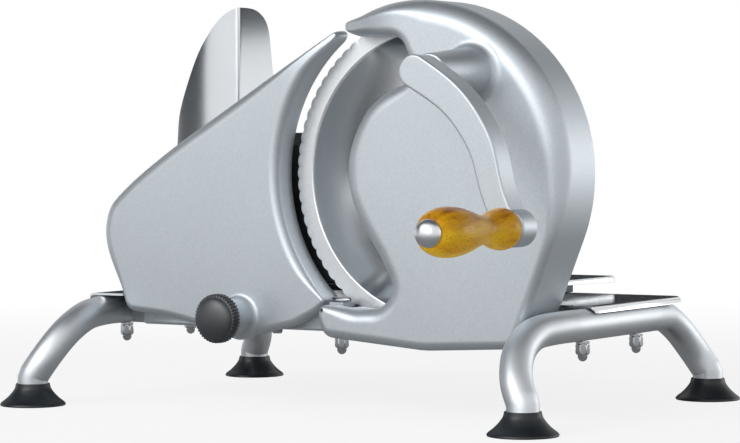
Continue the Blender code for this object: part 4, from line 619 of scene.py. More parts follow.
BLADE_X = 0.0657
BLADE_Z = 0.1262
BLADE_AT = (BLADE_X, -0.0450 + SHIFT, BLADE_Z)
BLADE_R = 0.0850
BEVEL_WIDTH = 0.0100
BEVEL_R = BLADE_R - BEVEL_WIDTH
BLADE_T = 0.0015
BLADE_EDGE_T = 0.0003
BLADE_DISH = 0.0041
DISH_FLAT_R = 0.0300
BLADE_WAVES = 80
WAVE_DEPTH = 0.0010
BORE_R = 0.0103


def dish(radius):
    """How far the blade's middle stands forward: a quarter of a sine wave from the bevel inwards."""
    reach = (BEVEL_R - radius) / (BEVEL_R - DISH_FLAT_R)
    return BLADE_DISH * np.sin(pi / 2 * np.clip(reach, 0, 1))


def blade_disc():
    """Front and back faces as one profile carried round, its edge let in by a rounded wave."""
    steps = BLADE_WAVES * 12
    turn = np.linspace(0, 2 * pi, steps, endpoint=False)
    wave = WAVE_DEPTH * (1 - np.abs(np.cos(BLADE_WAVES * turn / 2)) ** 0.8)
    inner = np.linspace(BORE_R, BEVEL_R - 0.0004, 26)
    bevel = np.linspace(BEVEL_R, BLADE_R, 9)
    share = (bevel - BEVEL_R) / BEVEL_WIDTH
    front_y = -BLADE_T - 0.0004 + (BLADE_T + 0.0004 - BLADE_EDGE_T) * share
    radius = np.concatenate([inner[:1], inner, bevel, bevel[::-1], inner[::-1]])
    height = np.concatenate([
        -dish(inner[:1]), -BLADE_T - dish(inner), front_y, np.zeros_like(bevel), -dish(inner[::-1]),
    ])
    pull = np.concatenate([inner[:1] * 0, inner * 0, share**6, share[::-1] ** 6, inner * 0])
    line = np.stack([radius, height], axis=1)
    return turned("blade_disc", line, "Y", BLADE_AT, ground, steps, 14, ring=True, cut=pull[:, None] * wave)


def ring_spot(finish, centre):
    """Distance from an axis along Y, the angle round it, and the way across and up from it."""
    spot = finish.spot((1, 1, 1), centre)
    flat = finish.add("ShaderNodeVectorMath", {"operation": "MULTIPLY"}, {0: spot, 1: (1, 0, 1)})
    reach = finish.add("ShaderNodeVectorMath", {"operation": "LENGTH"}, {0: flat}, 1)
    across = finish.add("ShaderNodeSeparateXYZ", {}, {0: spot}, 0)
    upward = finish.add("ShaderNodeSeparateXYZ", {}, {0: spot}, 2)
    return reach, finish.maths("ARCTAN2", upward, across), across, upward


ground = Finish("ground_blade_steel", {"Metallic": 1.0, "Base Color": (0.70, 0.72, 0.74), "Roughness": 0.25})
reach, angle, across, upward = ring_spot(ground, BLADE_AT)
ring = ground.add("ShaderNodeMapRange", {}, {
    0: reach, 1: BEVEL_R - 0.0008, 2: BEVEL_R + 0.0008, 3: 0.0, 4: 1.0,
})
polished = ground.add("ShaderNodeCombineXYZ", {}, {0: reach * 2600, 1: angle * 1.5, 2: 0.0})
wheeled = ground.add("ShaderNodeCombineXYZ", {}, {0: reach * 130, 1: across * 900, 2: upward * 900})
circles = ground.noise(polished, 1.0, 2.0)
strokes = ground.noise(wheeled, 1.0, 3.0)
marks = circles * (1 - ring) + strokes * ring
ground.feed("Base Color", ground.shades(marks, (0.60, 0.62, 0.64), (0.78, 0.80, 0.82)))
ground.feed("Roughness", 0.20 + marks * 0.10 + ring * 0.18)
cone = (reach - BEVEL_R).most(0.0) * 0.14
ground.bump(marks * 0.00001 - reach.least(BEVEL_R) * 0.26 + cone, 1.0)
disc = blade_disc()
dressed(disc, "blade", "round_blade")


# Gear housing: one zinc die casting, trimmed, blasted and sprayed in silver, hollow behind for the gears.
# A drum with a slim upper hook and a thick lower one, open in a crescent over the blade.

HOUSING_R = 0.0896
HOUSING_BACK = -0.0380
HOUSING_FRONT = -0.0740
EDGE_ROUND = 0.0120
HOOK_DEPTH = 0.0170
CAST_WALL = 0.0030
POCKET_R = 0.0870
POCKET_FRONT = -0.0510
DRUM_START = -22
DRUM_END = 112
HOOK_START = 85
HOOK_EDGE = 0.0040
FOOT_EDGE = 0.0048
UPPER_TIP = (0.0180, 0.2026)
HOOK_END = ((0.0192, 0.2063), (0.0184, 0.1996))
HOOK_UNDER = (
    (0.0270, 0.1977, 0.0120, 0.0036, 0.0120), (0.0390, 0.1979, 0.0150, 0.0050, 0.0070),
    (0.0610, 0.1968, 0.0090, 0.0052, 0.0052), (0.0700, 0.1745, 0.0090, 0.0060, 0.0060),
)
BULGE = (
    (0.0594, 0.1716, 0.0080), (0.0504, 0.1686, 0.0094), (0.0425, 0.1635, 0.0094), (0.0364, 0.1568, 0.0094),
    (0.0308, 0.1465, 0.0094), (0.0274, 0.1361, 0.0094), (0.0268, 0.1256, 0.0094), (0.0283, 0.1152, 0.0094),
    (0.0325, 0.1048, 0.0094), (0.0392, 0.0935, 0.0094), (0.0465, 0.0827, 0.0094),
)
LOWER_HOOK = (
    (0.0565, 0.0660, 0.0090, 0.0085, 0.0080), (0.0460, 0.0563, 0.0100, 0.0080, 0.0072),
    (0.0330, 0.0552, 0.0150, 0.0070, 0.0064), (0.0126, 0.0580, 0.0030, 0.0034, 0.0034),
    (0.0098, 0.0520, 0.0060, 0.0040, 0.0040), (0.0130, 0.0407, 0.0070, 0.0056, 0.0056),
    (0.0740, 0.0358, 0.0600, 0.0050, 0.0050),
)
HOUSING_FOOT = (0.1274, 0.0386, 0.0060, FOOT_EDGE, FOOT_EDGE)
CRANK_X = 0.103887
CRANK_Z = 0.177060
BOSS_BASE_R = 0.0130
BOSS_TIP_R = 0.0090
BOSS_LENGTH = 0.0430
BOSS_FILLET = 0.0045
BOSS_CORE_R = 0.0110
BOSS_CORE_BACK = -0.0635
SHAFT_BORE_R = 0.0069
HOOK_SEAT_R = 0.0053
HOOK_SEAT_Z = 0.0412
LUG_ROOM_FRONT = -0.0623
PAINT_DARK = (0.42, 0.46, 0.495)
PAINT_LIGHT = (0.66, 0.71, 0.75)


def housing_line():
    """The housing's front view as rows of (x, z, inset, depth), evenly spaced, counterclockwise."""
    angle = np.linspace(DRUM_START, DRUM_END, 160)
    high = np.clip((angle - HOOK_START) / (DRUM_END - HOOK_START), 0, 1)
    low = np.clip(angle / DRUM_START, 0, 1)
    inset = EDGE_ROUND + (HOOK_EDGE - EDGE_ROUND) * high + (FOOT_EDGE - EDGE_ROUND) * low
    depth = EDGE_ROUND + (HOOK_DEPTH - EDGE_ROUND) * high + (FOOT_EDGE - EDGE_ROUND) * low
    turn = np.radians(angle)
    drum = np.stack([
        BLADE_X + HOUSING_R * np.cos(turn), BLADE_Z + HOUSING_R * np.sin(turn),
        np.zeros_like(angle), inset, depth,
    ], axis=1)
    bulge = through(BULGE, 8)
    bulge = np.stack([bulge[:, 0], bulge[:, 1], np.zeros(len(bulge)), bulge[:, 2], bulge[:, 2]], axis=1)
    tip = [(*corner, 0.0030, 0.0022, HOOK_DEPTH) for corner in HOOK_END]
    corners = [*drum.tolist(), *tip, *HOOK_UNDER, *bulge.tolist(), *LOWER_HOOK, HOUSING_FOOT]
    return relaxed(filleted(corners, 10), 900)


def room(flat):
    """The radius of the largest circle inside a closed line that touches it at each point:
    the square of the way to another point over twice its part along the inward normal."""
    run = np.roll(flat, -1, axis=0) - np.roll(flat, 1, axis=0)
    run /= np.linalg.norm(run, axis=1)[:, None]
    inward = np.stack([-run[:, 1], run[:, 0]], axis=1)
    way = flat[None, :, :] - flat[:, None, :]
    along = np.einsum("ijk,ik->ij", way, inward)
    radius = np.sum(way**2, axis=2) / np.maximum(2 * along, 1e-9)
    return np.min(np.where(along > 1e-5, radius, 1.0), axis=1)


def relaxed(line, count):
    """The line spread evenly, with its figures drawn towards their neighbours' middle: its depths
    and insets many times, its places a few, and its insets once more where room is short."""

    def averaged(figures, rounds):
        for _ in range(rounds):
            figures = figures / 2 + (np.roll(figures, 1, axis=0) + np.roll(figures, -1, axis=0)) / 4
        return figures

    line = line[np.linalg.norm(line[:, :2] - np.roll(line[:, :2], 1, axis=0), axis=1) > 1e-6]
    line = even(line, count, closed=True, axes=2)
    line[:, 2:] = averaged(line[:, 2:], 60)
    line[:, :2] = averaged(line[:, :2], 4)
    line[:, 2] = averaged(np.minimum(line[:, 2], 0.8 * room(line[:, :2])), 12)
    return line


def shrunk(flat, amounts, passes=8):
    """Moves a closed line inwards by an amount at each point, in small passes, evening it a little
    after each so that it can't cross itself in a tight corner."""
    flat = flat.copy()
    for _ in range(passes):
        run = np.roll(flat, -1, axis=0) - np.roll(flat, 1, axis=0)
        run /= np.linalg.norm(run, axis=1)[:, None]
        flat -= np.stack([run[:, 1], -run[:, 0]], axis=1) * (amounts / passes)[:, None]
        middle = (np.roll(flat, 1, axis=0) + np.roll(flat, -1, axis=0)) / 2 - flat
        flat += run * np.sum(middle * run, axis=1)[:, None] * 0.5
    return flat


def falling(tip, angle, length, depth, above):
    """How far a front face falls back near a tip: nothing at a length behind it, the depth at it,
    and nothing at or below a height."""

    def fall(x, z):
        behind = (tip[0] - x) * cos(angle) + (tip[1] - z) * sin(angle)
        return depth * np.clip(1 - behind / length, 0, 1.15) ** 2.2 * (z > above)

    return fall


def cushion(name, line, back, front, finish, bands=22, fall=None, hem=0.0006):
    """A slab along Y whose front edge is a quarter of an ellipse, as wide as each point's inset and
    as deep as its depth, with a hem of flat face before the front is filled."""
    flat = line[:, :2]
    rings = [np.stack([flat[:, 0], np.full(len(flat), back), flat[:, 1]], axis=1)]
    now = flat
    before = 0.0
    for i in range(bands + 1):
        turn = pi / 2 * i / bands
        share = 1 - cos(turn)
        if share > before:
            now = shrunk(now, line[:, 2] * (share - before), 2)
        before = share
        rings.append(np.stack([now[:, 0], front + line[:, 3] * (1 - sin(turn)), now[:, 1]], axis=1))
    for _ in range(2):
        now = shrunk(now, np.minimum(hem, 0.25 * room(now)), 1)
        rings.append(np.stack([now[:, 0], np.full(len(now), front), now[:, 1]], axis=1))
    rings = np.array(rings)
    if fall:
        rings[1:, :, 1] += fall(rings[1:, :, 0], rings[1:, :, 2])
    rings[..., 1] += SHIFT
    return filled(name, rings, finish)


def filled(name, rings, finish):
    """Skins rings, and fills the first and the last with well-shaped triangles."""
    piece = skin(name, rings, finish)
    bm = bmesh.new()
    bm.from_mesh(piece.data)
    wide = [face for face in bm.faces if len(face.verts) > 8]
    bmesh.ops.triangulate(bm, faces=wide, quad_method="BEAUTY", ngon_method="BEAUTY")
    bm.to_mesh(piece.data)
    bm.free()
    smooth(piece.data)
    return piece


def drum(name, radius, low, high, steps=256, at=(BLADE_X, BLADE_Z)):
    """A plain cylinder along Y, for cutting."""
    line = [(0, low), (radius, low), (radius, high), (0, high)]
    return turned(name, line, "Y", (at[0], SHIFT, at[1]), None, steps)


def brick(name, low, high):
    """A plain box between two corners, for cutting or joining."""
    outline = [(low[0], low[2]), (high[0], low[2]), (high[0], high[2]), (low[0], high[2])]
    return prism(name, outline, "Y", low[1], high[1])


def flared(radius, face, size):
    """A boss's foot as rows of (radius, place): a quarter circle out of the face to the boss's side."""
    return [(radius + size * (1 - sin(a)), face - size * (1 - cos(a))) for a in np.linspace(0, pi / 2, 10)]


def levelled(piece, finish):
    """Shades a casting's rounded edges so that its broad flat faces look flat right up to them, and
    gives it its finish."""
    step = piece.modifiers.new("level", "WEIGHTED_NORMAL")
    step.keep_sharp = True
    step.weight = 50
    baked(piece)
    piece.data.materials.clear()
    piece.data.materials.append(finish.material)


paint = Finish("silver_paint", {"Metallic": 0.80, "Base Color": PAINT_LIGHT, "Roughness": 0.36})
flake = paint.noise(paint.spot(), 2400.0, 1.0)
mist = paint.noise(paint.spot(), 9.0, 3.0)
speck = paint.noise(paint.spot(), 1100.0, 2.0, 0.6)
paint.feed("Base Color", paint.shades(speck * 0.65 + mist * 0.35, PAINT_DARK, PAINT_LIGHT))
paint.feed("Roughness", 0.42 + flake * 0.12)
paint.bump(flake * 0.5 + speck * 0.5, 0.00007, 0.50)

line = housing_line()
hook_fall = falling(UPPER_TIP, radians(193), 0.0440, 0.0150, 0.1900)
shell = cushion("housing_shell", line, HOUSING_BACK, HOUSING_FRONT, paint, fall=hook_fall)
hollow_line = even(line, 240, closed=True, axes=2)
hollow_line[:, :2] = shrunk(hollow_line[:, :2], np.full(len(hollow_line), CAST_WALL))
hollow_line[:, 2:] = np.maximum(hollow_line[:, 2:] - CAST_WALL, 0.0006)
behind = HOUSING_BACK + 0.01
hollow = cushion("housing_hollow", hollow_line, behind, HOUSING_FRONT + CAST_WALL, None, 4)
carve(hollow, [
    brick("no_upper_hook", (0.0, -0.1, 0.1950), (0.0520, 0.1, 0.24)),
    brick("no_lower_hook", (-0.02, -0.1, 0.0), (0.0240, 0.1, 0.0650)),
])
lug_room = brick("lug_room", (0.0, LUG_ROOM_FRONT + SHIFT, 0.0541), (0.0260, behind + SHIFT, 0.0620))
seat_line = [(0, 0.03), (HOOK_SEAT_R, 0.03), (HOOK_SEAT_R, HOOK_SEAT_Z), (0, HOOK_SEAT_Z)]
hook_face = turned("hook_face", seat_line, "Z", (*HOOK_NUT_AT[:2], 0), None)
carve(shell, [hollow, drum("blade_pocket", POCKET_R, POCKET_FRONT, behind), lug_room, hook_face])
sunk = HOUSING_FRONT + 0.0015
tip_y = HOUSING_FRONT - BOSS_LENGTH
boss_line = [
    (0, BOSS_CORE_BACK), (BOSS_CORE_R, BOSS_CORE_BACK), (BOSS_CORE_R, sunk),
    (BOSS_BASE_R + BOSS_FILLET, sunk), *flared(BOSS_BASE_R, HOUSING_FRONT, BOSS_FILLET),
    (BOSS_TIP_R + 0.0002, tip_y + 0.0012), (BOSS_TIP_R, tip_y + 0.0005), (BOSS_TIP_R - 0.0006, tip_y),
    (0, tip_y),
]
boss = turned("crank_boss", boss_line, "Y", (CRANK_X, SHIFT, CRANK_Z), None, 96)
carve(shell, [boss], "UNION")
carve(shell, [drum("crank_bore", SHAFT_BORE_R, -0.13, -0.05, 64, (CRANK_X, CRANK_Z))])
levelled(shell, paint)
dressed(shell, "base", "gear_housing")


# Crank: a cast arm with flat faces and narrow broken edges, sprayed as the housing is.
# Its hub takes the shaft from behind, and its lower end the pin of the grip.

ARM_BACK = -0.1173
ARM_T = 0.0147
ARM_FRONT = ARM_BACK - ARM_T
ARM_EDGE = 0.0012
GRIP_X = 0.0517
GRIP_DROP = 0.0757
ARM_LINE = (
    (0.0000, 0.0000, 0.0164), (0.0150, -0.0090, 0.0158), (0.0232, -0.0156, 0.0150),
    (0.0298, -0.0236, 0.0146), (0.0347, -0.0314, 0.0142), (0.0387, -0.0376, 0.0138),
    (0.0411, -0.0503, 0.0130), (0.0443, -0.0615, 0.0126), (GRIP_X, -GRIP_DROP, 0.0124),
)
ARM_END_R = 0.0092
ARM_BORE_R = 0.0051
END_EDGE = 0.0012
GRIP_AX = CRANK_X + GRIP_X
GRIP_AZ = CRANK_Z - GRIP_DROP


def arm_line():
    """The arm's front view: half its width to each side of its middle line, round at the hub."""
    middle = eased(even(through(ARM_LINE, 10), 90), 90)
    run = np.gradient(middle[:, :2], axis=0)
    run /= np.linalg.norm(run, axis=1)[:, None]
    side = np.stack([-run[:, 1], run[:, 0]], axis=1) * middle[:, 2:3] / 2
    turn = np.linspace(0, pi, 30)[1:-1]
    outward = run[0] * np.linalg.norm(side[0])
    hub = middle[0, :2] + np.cos(turn)[:, None] * side[0] - np.sin(turn)[:, None] * outward
    flat = np.concatenate([middle[:, :2] - side, (middle[:, :2] + side)[::-1], hub])
    flat = even(flat, 520, closed=True)
    return np.concatenate([flat + (CRANK_X, CRANK_Z), np.full((len(flat), 2), ARM_EDGE)], axis=1)


def two_sided(name, line, back, front, finish, bands=6):
    """A slab along Y with the same rounded edge at the back and the front."""
    edge = line[0, 2]
    ys, insets = [], []
    for i in range(bands + 1):
        turn = pi / 2 * i / bands
        insets.append(edge * (1 - sin(turn)))
        ys.append(back - edge * (1 - cos(turn)))
    rings = []
    for y, amount in [(back, edge + 0.0004), *zip(ys, insets)]:
        now = shrunk(line[:, :2], np.full(len(line), amount), 3)
        rings.append(np.stack([now[:, 0], np.full(len(now), y + SHIFT), now[:, 1]], axis=1))
    near = [ring * (1, 0, 1) + (0, front + back + 2 * SHIFT, 0) - ring * (0, 1, 0) for ring in rings[::-1]]
    return filled(name, np.array(rings + near), finish)


def rounded_end(radius, face):
    """A boss's end as rows of (radius, place): a quarter circle from its side, then its flat face."""
    turn = np.linspace(0, pi / 2, 6)
    return [(radius - END_EDGE * (1 - cos(a)), face + END_EDGE * (1 - sin(a))) for a in turn] + [(0, face)]


arm = two_sided("arm", arm_line(), ARM_BACK, ARM_FRONT, paint)
end_line = [(0, ARM_BACK), (ARM_END_R - 0.0006, ARM_BACK), (ARM_END_R, ARM_BACK - 0.0006)]
end_line += rounded_end(ARM_END_R, ARM_FRONT + 0.0004)
carve(arm, [turned("arm_end", end_line, "Y", (GRIP_AX, SHIFT, GRIP_AZ), None, 96)], "UNION")
carve(arm, [drum("arm_bore", ARM_BORE_R, ARM_FRONT + 0.0045, -0.10, 48, (CRANK_X, CRANK_Z))])
levelled(arm, paint)
dressed(arm, "crank", "crank_arm")


# Grip: turned hardwood on a fixed pin, stained golden and varnished, with a chromed cap at its tip.
# The grain runs along it; short dark pores show where it was cut across.

GRIP_BACK = ARM_FRONT - GAP
GRIP_TURNING = (
    (0.0084, 0.0000), (0.0094, 0.0012), (0.0100, 0.0040), (0.0101, 0.0062), (0.0097, 0.0095),
    (0.0086, 0.0140), (0.0074, 0.0182), (0.0068, 0.0220), (0.0071, 0.0262), (0.0081, 0.0315),
    (0.0095, 0.0378), (0.0109, 0.0450), (0.0117, 0.0520), (0.0117, 0.0590), (0.0110, 0.0640),
    (0.0099, 0.0677), (0.0084, 0.0706), (0.0072, 0.0718), (0.0066, 0.0720),
)
GRIP_LENGTH = 0.0720
CAP_R = 0.0066
CAP_H = 0.0060
PIN_BORE_R = 0.0033

wood = Finish("varnished_wood", {
    "Base Color": (0.60, 0.30, 0.04), "Roughness": 0.42, "Specular IOR Level": 0.15,
    "Coat Weight": 0.18, "Coat Roughness": 0.12,
})
along_grain = wood.noise(wood.spot((260, 34, 260)), 1.0, 3.0)
bands = wood.noise(wood.spot((90, 9, 90)), 1.0, 2.0)
pores = wood.noise(wood.spot((1900, 420, 1900)), 1.0, 2.0, 0.4)
pore = wood.add("ShaderNodeMapRange", {}, {0: pores, 1: 0.60, 2: 0.70, 3: 0.0, 4: 1.0})
tone = wood.add("ShaderNodeValToRGB", {"stops": [
    (0.34, (0.36, 0.12, 0.002)), (0.48, (0.78, 0.38, 0.004)), (0.64, (0.98, 0.60, 0.014)),
]}, {0: bands * 0.6 + along_grain * 0.4})
wood.feed("Base Color", wood.add(
    "ShaderNodeMix", {"data_type": "RGBA"}, {0: pore * 0.55, 6: tone, 7: (0.16, 0.06, 0.006)}, 2,
))
wood.feed("Roughness", 0.38 + pores * 0.16)
wood.bump(along_grain - pore * 0.6, 0.00012, 0.25)

grip_line = np.concatenate([[(PIN_BORE_R, 0.0)], through(GRIP_TURNING, 6), [(PIN_BORE_R, GRIP_LENGTH)]])
grip_line = grip_line * (1, -1) + (0, GRIP_BACK)
grip = turned("grip", grip_line, "Y", (GRIP_AX, SHIFT, GRIP_AZ), wood, 96, 40, ring=True)
dressed(grip, "grip", "wooden_grip")

worn = mottled(
    "worn_chrome", {"Metallic": 1.0, "Base Color": (0.74, 0.76, 0.78), "Roughness": 0.34},
    (220.0, 3.0), ((0.68, 0.71, 0.74), (0.78, 0.80, 0.82)), (0.30, 0.08), (0.00003, 0.15),
)
cap_face = GRIP_BACK - GRIP_LENGTH - GAP
cap_turn = np.linspace(0, pi / 2, 22)
cap_line = [(0.0, cap_face), (CAP_R - 0.0004, cap_face), (CAP_R, cap_face - 0.0004)]
cap_line += [(CAP_R * cos(a), cap_face - 0.0008 - (CAP_H - 0.0008) * sin(a)) for a in cap_turn]
cap = turned("grip_tip_cap", cap_line, "Y", (GRIP_AX, SHIFT, GRIP_AZ), worn, 80, 40)
dressed(cap, "crank", "grip_cap")


# Stop plate: a zinc casting as broad as the food, its right edge hollowed to clear the blade,
# with a round boss for the thickness knob. Blasted and sprayed silver.

STOP_GAP = 0.0032
STOP_FACE = -0.0465
STOP_FRONT = -0.0620
STOP_DEPTH = 0.0095
STOP_RIM = (
    (0.0142, 0.1996, 0.0020, 0.0020), (0.0110, 0.2022, 0.0022, 0.0024), (-0.0098, 0.1890, 0.0, 0.0034),
    (-0.0355, 0.1745, 0.0, 0.0070), (-0.0616, 0.1592, 0.0, 0.0080), (-0.0885, 0.1435, 0.0, 0.0080),
    (-0.1092, 0.1302, 0.0, 0.0080), (-0.1233, 0.1200, 0.0, 0.0080), (-0.1353, 0.1092, 0.0, 0.0080),
    (-0.1395, 0.0986, 0.0, 0.0080), (-0.1396, 0.0885, 0.0, 0.0080), (-0.1362, 0.0774, 0.0, 0.0080),
    (-0.1275, 0.0610, 0.0, 0.0050),
)
STOP_FOOT = (
    (-0.1225, 0.0500, 0.0080, 0.0040), (-0.0954, 0.0476, 0.0, 0.0040), (-0.0831, 0.0454, 0.0, 0.0040),
    (-0.0520, 0.0386, 0.0120, 0.0040), (-0.0357, 0.0397, 0.0120, 0.0040), (-0.0113, 0.0454, 0.0, 0.0040),
    (0.0020, 0.0528, 0.0100, 0.0034), (0.0080, 0.0588, 0.0020, 0.0016),
)
KNOB_X = -0.0460
KNOB_Z = TUBE_Z
KNOB_BOSS_R = 0.0097
KNOB_BOSS_L = 0.0175
KNOB_BOSS_FILLET = 0.0030
SPINDLE_BORE_R = 0.0043


def stop_line():
    """The stop plate's front view: an arc round the blade, then its straight and rounded outer edge."""
    angle = np.linspace(228, 128, 120)
    near_tip = np.minimum(angle - 128, 228 - angle) / 100
    edge = np.minimum(0.0050, 0.0014 + 0.0250 * near_tip)
    reach = BLADE_R + STOP_GAP
    turn = np.radians(angle)
    arc = np.stack([
        BLADE_X + reach * np.cos(turn), BLADE_Z + reach * np.sin(turn), np.zeros_like(angle), edge, edge,
    ], axis=1)
    rim = np.insert(np.array(STOP_RIM), 4, STOP_DEPTH, axis=1)
    curved = through(rim[2:], 8)
    foot = np.array(STOP_FOOT)[:, (0, 1, 2, 3, 3)]
    return relaxed(filleted([*arc, *rim[:2], *curved, *foot], 10), 760)


stop_fall = falling(STOP_RIM[0][:2], radians(30), 0.0400, 0.0065, 0.1500)
stop = cushion("stop_slab", stop_line(), STOP_FACE, STOP_FRONT, paint, fall=stop_fall)
carve(stop, [brick("beam_room", (-0.2, -0.0523 + SHIFT, 0.0), (0.1, STOP_FACE + 0.01 + SHIFT, 0.0605))])
knob_boss = [(0, STOP_FRONT + 0.004), (KNOB_BOSS_R + KNOB_BOSS_FILLET, STOP_FRONT + 0.004)]
knob_boss += flared(KNOB_BOSS_R, STOP_FRONT, KNOB_BOSS_FILLET)
knob_boss += rounded_end(KNOB_BOSS_R, STOP_FRONT - KNOB_BOSS_L)
carve(stop, [turned("knob_boss", knob_boss, "Y", (KNOB_X, SHIFT, KNOB_Z), None, 96)], "UNION")
carve(stop, [drum("spindle_bore", SPINDLE_BORE_R, -0.09, -0.04, 48, (KNOB_X, KNOB_Z))])
levelled(stop, paint)
dressed(stop, "stop", "stop_plate")


# Thickness knob: black plastic, moulded with square-bottomed ribs round a shallow dome.
# It sits on the end of the spindle that sets the stop plate.

KNOB_R = 0.0131
KNOB_T = 0.0062
KNOB_DOME = 0.0045
KNOB_RIBS = 44
RIB_DEPTH = 0.0007


def ribbed_knob():
    """Rings round the axis: the grooves are where a cosine round the rim dips below a level."""
    steps = KNOB_RIBS * 12
    turn = np.linspace(0, 2 * pi, steps, endpoint=False)
    groove = 1 / (1 + np.exp(9 * (np.cos(KNOB_RIBS * turn) - 0.1)))
    back = STOP_FRONT - KNOB_BOSS_L - GAP
    front = back - KNOB_T
    dome = np.linspace(0, pi / 2, 20)
    rows = [
        (0, back, 0), (KNOB_R - 0.0028, back, 0), (KNOB_R - 0.0008, back - 0.0002, 0.6),
        (KNOB_R, back - 0.0009, 1), (KNOB_R, front + 0.0012, 1), (KNOB_R - 0.0002, front + 0.0006, 1),
        (KNOB_R - 0.0008, front + 0.0001, 0.6), (KNOB_R - 0.0014, front - 0.0001, 0),
    ]
    rows += [((KNOB_R - 0.0016) * cos(a), front - 0.0002 - (KNOB_DOME - 0.0002) * sin(a), 0) for a in dome]
    line = np.array(rows)
    ribs = RIB_DEPTH * line[:, 2:] * groove
    return turned("ribbed_knob", line, "Y", (KNOB_X, SHIFT, KNOB_Z), black, steps, 38, cut=ribs)


black = mottled(
    "black_plastic", {"Base Color": (0.020, 0.024, 0.030), "Roughness": 0.38, "Specular IOR Level": 1.0},
    (70.0, 4.0), ((0.014, 0.017, 0.022), (0.028, 0.033, 0.040)), (0.38, 0.16), (0.00005, 0.25), (1500.0, 2.0),
)
dressed(ribbed_knob(), "knob", "adjusting_knob")


# Beam: the grey-silver casting that crosses under the plate and carries housing and stop plate.
# The solid's own shape is right already, so it is copied and only shaded smooth.

def copied(name, node, finish, body, sharp=35):
    """A smooth copy of a CAD solid whose shape is already right, standing for it."""
    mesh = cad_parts[node].data.copy()
    mesh.materials.clear()
    bm = bmesh.new()
    bm.from_mesh(mesh)
    bmesh.ops.remove_doubles(bm, verts=bm.verts, dist=0.000005)
    bm.to_mesh(mesh)
    bm.free()
    smooth(mesh, sharp)
    piece = placed(name, mesh)
    mesh.materials.append(finish.material)
    return dressed(piece, body, node)


copied("beam_casting", "chassis_beam", paint, "base")


# Screws, studs, pins, the shaft and its gear: turned and plated steel, seen only here and there.
# Each is named for its solid and listed under the body that it moves with.

plated = mottled(
    "zinc_plated_steel", {"Metallic": 1.0, "Base Color": (0.60, 0.61, 0.61), "Roughness": 0.30},
    (700.0, 2.0), ((0.50, 0.51, 0.52), (0.68, 0.69, 0.69)), (0.22, 0.18), (0.00004, 0.3),
)
SMALL_STEEL = {
    "base": (
        "plate_stud_front_left", "plate_stud_front_right", "plate_stud_rear_left", "plate_stud_rear_right",
        "beam_screw_left", "beam_screw_right", "beam_hex_screw", "housing_rear_screw", "housing_bolt",
        "blade_axle", "idler_pin",
    ),
    "crank": ("crank_shaft", "crank_gear", "gear_retaining_ring", "grip_pin"),
    "blade": ("blade_hub", "blade_screw"),
    "stop": ("guide_pin_left", "guide_pin_right"),
    "knob": ("adjusting_spindle",),
    "carriage": ("guard_rivet_front", "guard_rivet_rear"),
    "holder": ("holder_screw",),
}
for body, nodes in SMALL_STEEL.items():
    for node in nodes:
        copied(node + "_turned", node, plated, body)


# Bushes are pressed from bronze powder and sintered, so that shaft and spindle run in them dry.
# The middle gear is moulded nylon, so that the train runs quietly.

bronze = mottled(
    "sintered_bronze", {"Metallic": 1.0, "Base Color": (0.52, 0.36, 0.17), "Roughness": 0.42},
    (1800.0, 3.0), ((0.40, 0.27, 0.12), (0.60, 0.43, 0.22)), (0.34, 0.2), (0.00005, 0.4),
)
for node in ("crank_bush_front", "crank_bush_rear", "spindle_bush"):
    copied(node + "_bronze", node, bronze, "base")

nylon = mottled(
    "white_nylon", {"Base Color": (0.78, 0.77, 0.72), "Roughness": 0.45, "Subsurface Weight": 0.1},
    (120.0, 3.0), ((0.70, 0.69, 0.63), (0.82, 0.81, 0.76)), (0.36, 0.16), (0.00005, 0.2),
)
copied("middle_gear", "idler_gear", nylon, "idler", 25)


# Carriage: mirror stainless sheet folded down on all four sides, its end lips deepening to the rear.
# It runs on two hooked shoes in front and two glides behind, all moulded black plastic.

for node in ("front_slide_shoe_left", "front_slide_shoe_right", "rear_glide_left", "rear_glide_right"):
    copied(node + "_moulded", node, black, "carriage")

CARRIAGE_TOP = 0.0671
CARRIAGE_LEFT = -0.1120
CARRIAGE_RIGHT = 0.0950
CARRIAGE_FRONT = -0.0360
CARRIAGE_BACK = 0.1080
CARRIAGE_LIP = 0.0040
CARRIAGE_LIP_FRONT = 0.0021
LIP_TAPER_Y = 0.0170
CARRIAGE_BEND = 0.0018
FLAT_FROM = 0.0060


